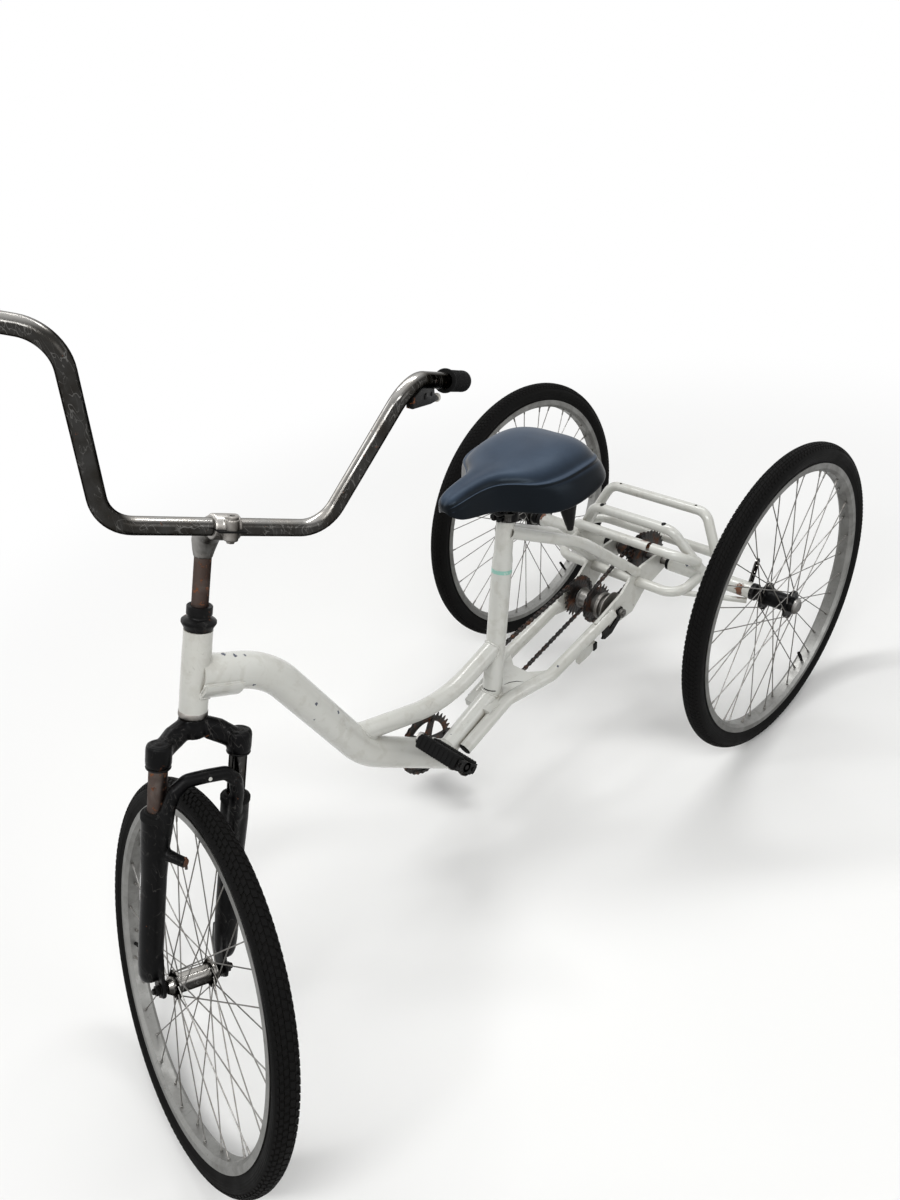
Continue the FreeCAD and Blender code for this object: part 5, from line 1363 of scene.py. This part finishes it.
def on_leg(sign, height):
    """A point of a fork leg's axis."""
    return Vector((SPREAD * sign, -(ADVANCE + (CROWN_LOW - height) * math.tan(LEAN)), height))


def leg_space(sign):
    return STEERING @ Matrix.Translation(on_leg(sign, 0)) @ Matrix.Rotation(-LEAN, 4, "X")


def fork_crown():
    """Two arms from the steerer's collar to the clamps round the legs."""
    shape = Shape(STEERING)
    shape.turned([(15, 414), (21, 414), (24, 418), (25, 424), (24, 432), (21.8, 438), (21.5, 445),
                  (20.5, 446), (15, 446)], steps=40, closed=True)
    for sign in SIDES:
        shape.rod([(0, -3, 428), (18 * sign, -6, 430), (38 * sign, -14, 426),
                   (54 * sign, -25, 416), on_leg(sign, 407)], [17, 15.5, 14, 14.5, 16], 20)
        shape.rod([(20 * sign, -10, 420), (42 * sign, -22, 412), on_leg(sign, 402)],
                  [11, 11, 12], 16)
        shape.turned([(0, 389), (16, 389), (19, 392), (19.7, 398), (19.7, 420), (18.4, 425),
                      (16, 426.4), (0, 426.4)], leg_space(sign), 44)
    make("crown_casting", casting(shape, 1.9, 5, 0.6), "black_paint", "steering",
         ["fork_crown"], sharp=60)


def crown_caps():
    """The caps and seals of the legs, and the steerer inside the head tube."""
    caps = Shape(STEERING)
    for sign in SIDES:
        space = leg_space(sign)
        caps.turned([(10.6, 425.6), (11.6, 426.9), (13.4, 426.9), (14.2, 425.6)], space, 40)
        caps.turned([(0, 427.2), (5.2, 427.4), (6.2, 426.6), (6.4, 425)], space, 32)
        caps.hexagon(6, 426.8, 428, space)
        caps.turned([(13, 388), (18.6, 387.8), (19.2, 389.4), (18, 390.6)], space, 44)
    caps.turned([(14.2, 430), (14.2, 622)], steps=40)
    caps.turned([(14.2, 622), (12.8, 622), (12.8, 600)], steps=40)
    make("crown_caps", caps, "black_steel", "steering")


fork_crown()
crown_caps()

# %% [markdown]
# ### Lower legs
# The lower legs, the arch between them, the bosses of the brake posts and the feet that hold
# the axle are one casting. The posts, the wipers at the legs' tops and a pale dot are added.

# %% The lower legs and the tubes above them
def brake_post(sign):
    """Where a brake post's boss grows from the leg, and where it ends."""
    return on_leg(sign, 248), Vector((36 * sign, -86, 246))


def fork_lowers():
    shape = Shape(STEERING)
    foot = [(20, 62), (19, 24), (46, -13), (RAKE, -17.5), (RAKE + 15, -7), (RAKE + 16, 6),
            (68, 26), (60, 62)]
    for sign in SIDES:
        shape.turned([(0, 9), (11, 9), (15, 12), (18, 22), (19.6, 40), (20.2, 90), (19.8, 150),
                      (20, 200), (21.6, 238), (22.8, 270), (22.6, 300), (22, 312), (0, 312)],
                     leg_space(sign), 40)
        arm = [on_leg(sign, 238) + Vector((-6 * sign, -10, 0)), (57 * sign, -52, 285),
               (56 * sign, -57, 330), (50 * sign, -60, 356), (32 * sign, -60, 372),
               (0, -60, 373)]
        shape.rod(bend(arm, 14, 4), 11, 16)
        shape.rod([on_leg(sign, 300), (56 * sign, -56, 322)], [15, 12], 16)
        shape.rod([on_leg(sign, 262), (57 * sign, -54, 290)], [15, 12], 16)
        root, tip = brake_post(sign)
        shape.rod([root.lerp(tip, share) for share in (0, 0.4, 0.72, 1)], [12, 9.5, 8.4, 8.2], 18)
        side = Matrix(((0, 0, sign, 0), (-1, 0, 0, 0), (0, 1, 0, 0), (0, 0, 0, 1)))
        shape.slab(foot, HUB_HALF, HUB_HALF + 6.4, STEERING @ side)
    make("lowers_casting", casting(shape, 2.2, 4, 0.5), "black_paint", "steering",
         ["fork_lowers"], sharp=60)


def leg_fittings():
    wipers, posts = Shape(STEERING), Shape(STEERING)
    for sign in SIDES:
        wipers.turned([(13.0, 311), (13.4, 316.5), (16.6, 317), (18.6, 315.4), (19.2, 312.4),
                       (23.0, 312), (24.0, 310), (23.8, 304), (22, 302.6)], leg_space(sign), 48)
        root, tip = brake_post(sign)
        line = (tip - root).normalized()
        posts.rod([tip - line * 5, tip + line * 1, tip + line * 1.4], [6.2, 6.2, 5.4], 20)
        posts.rod([tip + Vector((0, 2, 9)), tip + Vector((0, -3, -9))], 2.2, 10)
    make("leg_wipers", wipers, "grip_rubber", "steering")
    make("brake_posts", posts, "rusty_steel", "steering")
    dot = Shape(STEERING @ Matrix.Translation((2, -70.4, 373))
                @ Matrix.Rotation(math.pi / 2, 4, "X"))
    dot.turned([(0, 1.2), (2.9, 1.0), (3.3, -0.6)], steps=24)
    make("arch_reflector", dot, "frame_paint", "steering")


def stanchions():
    """One of the tubes has rusted brown; the other is only dull."""
    for number, sign, finish in ((1, 1, "chrome"), (2, -1, "rusty_chrome")):
        tube = Shape(leg_space(sign))
        tube.turned([(0, 290), (14.4, 290), (14.4, 388.4), (0, 388.4)], steps=40)
        make(f"stanchion_{number}", tube, finish, "steering", ["fork_stanchions"])


fork_lowers()
leg_fittings()
stanchions()

# %% [markdown]
# ## Headset and stem
# The black cups and lock nuts are turned in the fork's space. The stem is a dull forging with a
# split clamp, and its bolt's round head faces forwards.

# %% Cups, nuts and stem
HEAD_TOP = 588.0
BAR_TILT, GRIP_TURN = math.radians(3.2), math.radians(60)
CLAMP = Vector((0, -60, 762))
LUG = CLAMP + Vector((3, -17, 2))
BAR = STEERING @ Matrix.Translation(CLAMP) @ Matrix.Rotation(BAR_TILT, 4, "Y")


def headset():
    """A cup under and over the head tube, and two nuts with a lip round the stem."""
    cup = [(15, 0.3), (20.6, 0.3), (21.4, 2), (22.8, 5), (25.4, 9.5), (26.4, 11.4),
           (26.4, 12.8), (15, 12.9)]
    lower_nut = [(15, 13.2), (26.3, 13.2), (26.3, 14.6), (24.4, 16.4), (18.6, 19.4), (17.4, 21),
                 (17.0, 24), (15, 24)]
    upper_nut = [(15, 24.2), (18.6, 24.2), (19.4, 25), (19.4, 36.8), (18.4, 37.9), (14.6, 37.9)]
    lip = [(14.6, 37.6), (13.4, 37.9), (12.8, 36)]
    top = STEERING @ Matrix.Translation((0, 0, HEAD_TOP))
    make("upper_cup", Shape(top).turned(cup, steps=64, closed=True), "black_steel", "steering",
         ["headset_cups", "headset_top"])
    nuts = Shape(top)
    for profile in (lower_nut, upper_nut):
        nuts.turned(profile, steps=64, closed=True)
    make("headset_nuts", nuts.turned(lip), "black_steel", "steering")
    low = Shape(STEERING)
    low.turned([(15, 446.4), (21.4, 446.4), (22.2, 447.4), (22.6, 449), (22.6, 455.6),
                (22.1, 456.6), (15, 456.6)], steps=64, closed=True)
    make("lower_cup", low, "cast_alloy", "frame")


def stem():
    shape = Shape(STEERING)
    shape.rod([(0, 0, 700), (0, 0, 710), (0, -2, 724), (0, -9, 740), (0, -28, 752), CLAMP],
              [13.6, 16, 19, 20.5, 18.5, 14], 24)
    shape.rod([(0, 0, 742), (0, -4, 750)], [14, 10], 20)
    shape.turned([(0, -20), (17.4, -20), (18.6, -18.4), (18.8, 0), (18.6, 18.4), (17.4, 20),
                  (0, 20)], BAR @ Matrix.Rotation(math.pi / 2, 4, "Y"), 40)
    shape.rod([LUG + Vector((0, 0, -17)), LUG + Vector((0, 0, 14))], 10.4, 24)
    make("stem_forging", casting(shape, 1.5, 4, 0.6), "cast_alloy", "steering", ["stem"],
         sharp=60)
    quill = Shape(STEERING).rod([(0, 0, 570), (0, 0, 702)], 12.7, 36)
    make("stem_quill", quill, "rusty_chrome", "steering")
    head = Shape(STEERING @ Matrix.Translation(LUG))
    head.turned([(0, 14.2), (3.4, 14.2), (3.8, 18.4), (8, 18.4), (9, 17), (9, 13)], steps=32)
    head.turned([(0, -20.5), (5.5, -20.5), (6.5, -19), (6.5, -16)], steps=6)
    make("stem_bolt", head, "cast_alloy", "steering")
    # A dark slab fills the clamp's slit as painted shade in the gap.
    gap_shade = Shape(BAR)
    gap_shade.slab([(-20.3, -29.4), (20.3, -29.4), (20.3, -12), (-20.3, -12)], -1.1, 1.1, bevel=0.3)
    make("clamp_slit_shade", gap_shade, "grip_rubber", "steering")


headset()
stem()

# %% [markdown]
# ## Grips and brake lever
# The grips are ribbed rubber, from a flange to a rounded end. The lever is a pressed blade
# under the left one, with a pale ball at its end. Both lie along the bar's swept-back ends.

# %% Grips and lever
def bar_line(side):
    """The direction of one end of the bar, in the fork's space."""
    out = math.sin(GRIP_TURN)
    return Vector((out * side * math.cos(BAR_TILT), math.cos(GRIP_TURN),
                   -out * side * math.sin(BAR_TILT)))


def grip(number, side):
    inside_out = STEERING.inverted()
    points = [vertex.co for vertex in frame["nodes"]["grips"].data.vertices
              if ((inside_out @ vertex.co).x > 0) == (side > 0)]
    middle = sum(points, Vector()) / len(points)
    line = (STEERING.to_3x3() @ bar_line(side)).normalized()
    places = [(point - middle).dot(line) for point in points]
    start, reach = min(places) / MM, max(places) / MM
    profile = [(12.9, start), (17.6, start), (19, start + 1), (19, start + 3.4),
               (17.4, start + 4.6)]
    place = start + 6.2
    while place < reach - 12:
        profile += [(16.2, place), (17.0, place + 0.7), (17.0, place + 2.1), (16.2, place + 2.8)]
        place += 3.9
    profile += [(17.2, reach - 9), (17.2, reach - 3.4), (16, reach - 1.2), (13, reach), (0, reach)]
    shape = Shape(along(middle, line)).turned(profile)
    make(f"grip_{number}", shape, "grip_rubber", "steering", ["grips"], sharp=24)


def lever():
    """The bracket and the ball, placed by the far and low ends of the solid's blade."""
    points = [STEERING.inverted() @ vertex.co
              for vertex in frame["nodes"]["brake_lever"].data.vertices]
    line = bar_line(1)
    down = Vector((-math.sin(BAR_TILT), 0, -math.cos(BAR_TILT)))
    across = line.cross(down)
    corner = (max(point.dot(line) for point in points), max(point.dot(down) for point in points),
              sum(point.dot(across) for point in points) / len(points))
    turn = Matrix((line, down, across)).transposed().to_4x4()
    place = STEERING @ turn @ Matrix.Translation(corner)
    bracket = Shape(place)
    bracket.slab([(-84, -33), (-38, -34), (-31, -24), (-13, -19), (-7, -15), (-40, -8),
                  (-105, -1), (-108, -8), (-108, -18)], -6, 6, bevel=1.6)
    bracket.rod([(-66, -20, -7.6), (-66, -20, 7.6)], 5, 20)
    bracket.rod([(-44, -24, -7.2), (-44, -24, 7.2)], 3.6, 16)
    mesh = modified(bracket, ("BEVEL", {"width": 0.8 * MM, "segments": 2}))
    make("lever_bracket", mesh, "black_steel", "steering", ["brake_lever"])
    ball = Shape(place)
    ball.rod([(-26, -19, 0), (-16, -17.5, 0), (-12, -17.5, 0), (-7, -17, 0), (-2.5, -16.5, 0),
              (-0.6, -16.2, 0)], [3.6, 4.4, 6.4, 7.0, 4.6, 1.2], 20)
    make("lever_ball", ball, "pale_plastic", "steering")


grip(1, 1)
grip(2, -1)
lever()

# %% [markdown]
# ## Welds
# Where one tube meets another there is a bumpy bead under the paint. A bead's line is found in
# the solids themselves: it is the sharp edge of one tube that lies on the skin of the other.

# %% Find the seams
SEAM_REACH, SEAM_ANGLE = 0.6 * MM, math.radians(24)
SHORTEST, APART, CLOSED_GAP, STEP = 14 * MM, 6 * MM, 3 * MM, 2.4 * MM


def solid_mesh(name):
    mesh = bmesh.new()
    mesh.from_mesh(frame["nodes"][name].data)
    bmesh.ops.remove_doubles(mesh, verts=mesh.verts, dist=1e-6)
    return mesh


def runs_of(edges):
    """Join edges into runs of corners; a closed run ends where it starts.

    The neighbours are kept in lists, in the mesh's own order, so every run goes the same way
    round each time.
    """
    links = {}
    for edge in edges:
        first, last = edge.verts
        links.setdefault(first, []).append(last)
        links.setdefault(last, []).append(first)
    runs = []
    while links:
        start = next((corner for corner, near in links.items() if len(near) == 1),
                     next(iter(links)))
        run = [start]
        while links.get(run[-1]):
            after = links[run[-1]].pop(0)
            links[after].remove(run[-1])
            run.append(after)
        links = {corner: near for corner, near in links.items() if near}
        runs.append([corner.co.copy() for corner in run])
    return runs


def run_length(run):
    return sum((after - before).length for before, after in zip(run, run[1:]))


def centre_of(run):
    return sum(run, Vector()) / len(run)


def seam_runs(source, target):
    """The outer runs of the edge where one solid stands on another."""
    skin = BVHTree.FromBMesh(solid_mesh(target))
    mesh = solid_mesh(source)
    near = {corner for corner in mesh.verts
            if skin.find_nearest(corner.co, SEAM_REACH)[0] is not None}
    edges = [edge for edge in mesh.edges if len(edge.link_faces) == 2
             and edge.calc_face_angle() > SEAM_ANGLE and near.issuperset(edge.verts)]
    runs = sorted((run for run in runs_of(edges) if run_length(run) > SHORTEST),
                  key=run_length, reverse=True)
    outer = []
    for run in runs:
        if all((centre_of(run) - centre_of(other)).length > APART for other in outer):
            outer.append(run)
    mesh.free()
    return outer


def evenly(run, step):
    """Points a step apart along a run."""
    points, left = [run[0]], step
    for before, after in zip(run, run[1:]):
        length = (after - before).length
        done = 0.0
        while length - done >= left:
            done += left
            points.append(before.lerp(after, done / length))
            left = step
        left -= length - done
    return points


# %% Lay the beads
# which tube, on which, bead size in millimetres
SEAMS = (
    ("head_gusset", "head_tube", 2.2), ("stay_yoke", "seat_tube", 2.0),
    ("head_gusset", "main_tube", 1.9), ("upper_tube", "main_tube", 2.2),
    ("upper_tube", "seat_tube", 2.2), ("lower_link", "seat_tube", 2.2),
    ("lower_link", "bottom_bracket_shell", 2.0), ("main_tube", "bottom_bracket_shell", 2.2),
    ("seatstays", "seat_tube", 1.8), ("seatstays", "base_loops", 1.7),
    ("base_loops", "axle_housings", 1.7), ("rack_hoops", "axle_housings", 1.6),
    ("rack_hoops", "base_loops", 1.6), ("cross_tube", "rack_hoops", 1.6),
    ("housing_braces", "axle_housings", 1.6), ("fender_tabs", "axle_housings", 1.2),
)


def weld_beads():
    chance = random.Random(7)
    shape = Shape(Matrix.Identity(4))
    count = 0
    for source, target, size in SEAMS:
        for run in seam_runs(source, target):
            points = evenly(run, STEP)
            if len(points) < 5:
                continue
            closed = (run[0] - run[-1]).length < CLOSED_GAP
            if closed:
                points = points[:-1]
            radii = [size * MM * (1.0 + 0.16 * (step % 2) + chance.uniform(-0.12, 0.12))
                     for step in range(len(points))]
            shape.rod(points, radii, 8, closed=closed)
            count += 1
    make("weld_beads", shape, "frame_paint", "frame", sharp=70)
    print("weld beads:", count)


def head_joint():
    """The flared end of the main tube runs into the head tube without a step."""
    start = STEERING @ Vector((0, 0, 514)) / MM
    ahead = (Vector((0, -396, 692)) - start).normalized()
    over = Vector((0, -ahead.z, ahead.y))
    over = over if over.z > 0 else -over
    shape = Shape()
    shape.rod([start + ahead * reach for reach in (4, 22, 50, 66)], [27, 30.6, 30.5, 29], 40)
    shape.rod([start + over * 20, start + ahead * 24 + over * 9, start + ahead * 56 + over * 1],
              [17, 24, 28], 32)
    head = [STEERING @ Vector((0, 0, height)) / MM for height in (472, 480, 560, 568)]
    shape.rod(head, [21.2, 22.4, 22.4, 21.2], 48)
    make("head_joint", casting(shape, 2.0, 6, 0.6), "frame_paint", "frame", sharp=70)


head_joint()
weld_beads()

# %% [markdown]
# ## Small fittings
# A painted ring round the seat tube, a plug in the left chainstay's open end, the hoops' bolts
# and a cable tab under the left stay. Thin dark lines lie in two open joints.

# %% Ring, joints, plug, bolts and tab
SEAT_BASE, SEAT_ANGLE = Vector((0, 53, 283)), math.radians(72)
SEAT_LEAN = Vector((0, math.cos(SEAT_ANGLE), math.sin(SEAT_ANGLE)))
PLUG_END, PLUG_INNER = Vector((33.8, -72, 247)), Vector((33.8, 63, 278))
BOLT_OUT, BOLT_BACK = 82, 553


def on_seat_tube(height):
    """A space on the seat tube's axis, so far above its foot."""
    return along((SEAT_BASE + SEAT_LEAN * height) * MM, SEAT_LEAN)


def seat_tube_ring():
    ring = Shape(on_seat_tube(279))
    ring.turned([(19.9, -4.2), (20.25, -4.1), (20.25, 4.1), (19.9, 4.2)])
    make("seat_tube_ring", ring, "green_line", "frame")


def stay_plug():
    line = (PLUG_END - PLUG_INNER).normalized()
    plug = Shape(along((PLUG_END + line * 0.2) * MM, line))
    plug.turned([(12, -4), (13.2, -0.4), (13.2, 1.2), (11.4, 2.4), (0, 2.6)], steps=32)
    make("stay_plug", plug, "grip_rubber", "frame")


def hoop_bolts():
    top = node_box("rack_hoops")[1].z
    bolts = Shape()
    for left in (BOLT_OUT, -BOLT_OUT):
        bolts.turned([(0, 1.6), (3.4, 1.4), (5.2, 0.2), (5.6, -1.4)],
                     FRAME @ Matrix.Translation((left, BOLT_BACK, top)), 20)
    make("hoop_bolts", bolts, "black_steel", "frame")


def cable_tab():
    """A welded tab with a dark clip, under the left chainstay."""
    place = basis(Vector((0.066, 0.280, 0.264)), BACK, LEFT)
    tab = Shape(place)
    tab.slab([(-34, -5), (-28, -14), (8, -13), (24, -5), (30, 12), (-34, 13)], -1.6, 1.6,
             bevel=0.5)
    make("cable_tab", tab, "frame_paint", "frame")
    clip = Shape(place)
    clip.slab([(21, -10), (31, -9), (34, 7), (23, 8)], -4.5, 4.5, bevel=0.8)
    make("cable_clip", clip, "black_steel", "frame")


def joint_lines():
    """Thin dark lines lie in the open joint at the seat tube's foot and along the web's edge."""
    lines = Shape()
    arc = [(*polar(20.0, math.radians(8 * step - 112)), 0) for step in range(12)]
    lines.rod(arc, [0.3] + [1.1] * (len(arc) - 2) + [0.3], 8, on_seat_tube(18))
    lines.rod([(5, 86, 286), (10, 98, 286), (20, 109, 286), (34, 116, 286)],
              [0.3, 0.9, 0.9, 0.3], 8)
    make("joint_lines", lines, "black_steel", "frame")


for build in (seat_tube_ring, joint_lines, stay_plug, hoop_bolts, cable_tab):
    build()

# %% [markdown]
# ## Floor and backdrop
# The floor is plain and pale. It keeps the shadow and fades to white away from the object. The
# sky is white where the camera or a reflection sees it, and lights the object more softly.

# %% Floor and sky
FLOOR_HALF, FLOOR_DROP = 30.0, 0.0005
FADE_START, FADE_END = 0.75, 2.4


def seen_by(tree, *kinds):
    """A mask of the rays of some kinds."""
    rays = add_node(tree, "ShaderNodeLightPath").outputs
    whole = rays[f"Is {kinds[0]} Ray"]
    for kind in kinds[1:]:
        whole = maths(tree, "MAXIMUM", whole, rays[f"Is {kind} Ray"])
    return whole


def blend(tree, share, first, second, output):
    """Mix two shaders into a tree's output."""
    made = add_node(tree, "ShaderNodeMixShader",
                    {0: share, 1: first.outputs[0], 2: second.outputs[0]})
    wire(tree, tree.nodes[output].inputs["Surface"], made.outputs[0])


def floor_finish():
    tree = new_finish("floor")
    soft = noise(tree, object_place(tree), 2.0, 3)
    dress(tree, Base_Color=layer(tree, FLOOR_COLOUR, (0.7, 0.7, 0.69, 1), soft, 0.06),
          Roughness=0.9, Specular_IOR_Level=0.1)
    place = add_node(tree, "ShaderNodeNewGeometry").outputs["Position"]
    away = vectors(tree, "LENGTH", place)["Value"]
    fade_and_sheen = times(tree, seen_by(tree, "Camera", "Glossy"),
                  spread(tree, away, FADE_START, FADE_END))
    white = add_node(tree, "ShaderNodeEmission", {"Color": (1, 1, 1, 1), "Strength": 1.0})
    blend(tree, fade_and_sheen, tree.nodes["Principled BSDF"], white, "Material Output")


def add_floor():
    floor_finish()
    mesh = bpy.data.meshes.new("floor")
    corners = [(u * FLOOR_HALF, v * FLOOR_HALF, 0) for u, v in ((-1, -1), (1, -1), (1, 1), (-1, 1))]
    mesh.from_pydata(corners, [], [(0, 1, 2, 3)])
    mesh.materials.append(FINISHES["floor"])
    floor = add_object("floor", mesh)
    floor.location.z = -FLOOR_DROP


def add_sky():
    world = bpy.data.worlds.new("sky")
    world.use_nodes = True
    bpy.context.scene.world = world
    tree = world.node_tree
    glow = tree.nodes["Background"]
    seen = add_node(tree, "ShaderNodeBackground")
    for lamp, strength in ((glow, SKY), (seen, BACKDROP)):
        lamp.inputs["Color"].default_value = (1, 1, 1, 1)
        lamp.inputs["Strength"].default_value = strength
    blend(tree, seen_by(tree, "Camera", "Glossy", "Transmission"), glow, seen, "World Output")


add_floor()
add_sky()
print("floor", 2 * FLOOR_HALF, "m wide, white from", FADE_END, "m out")
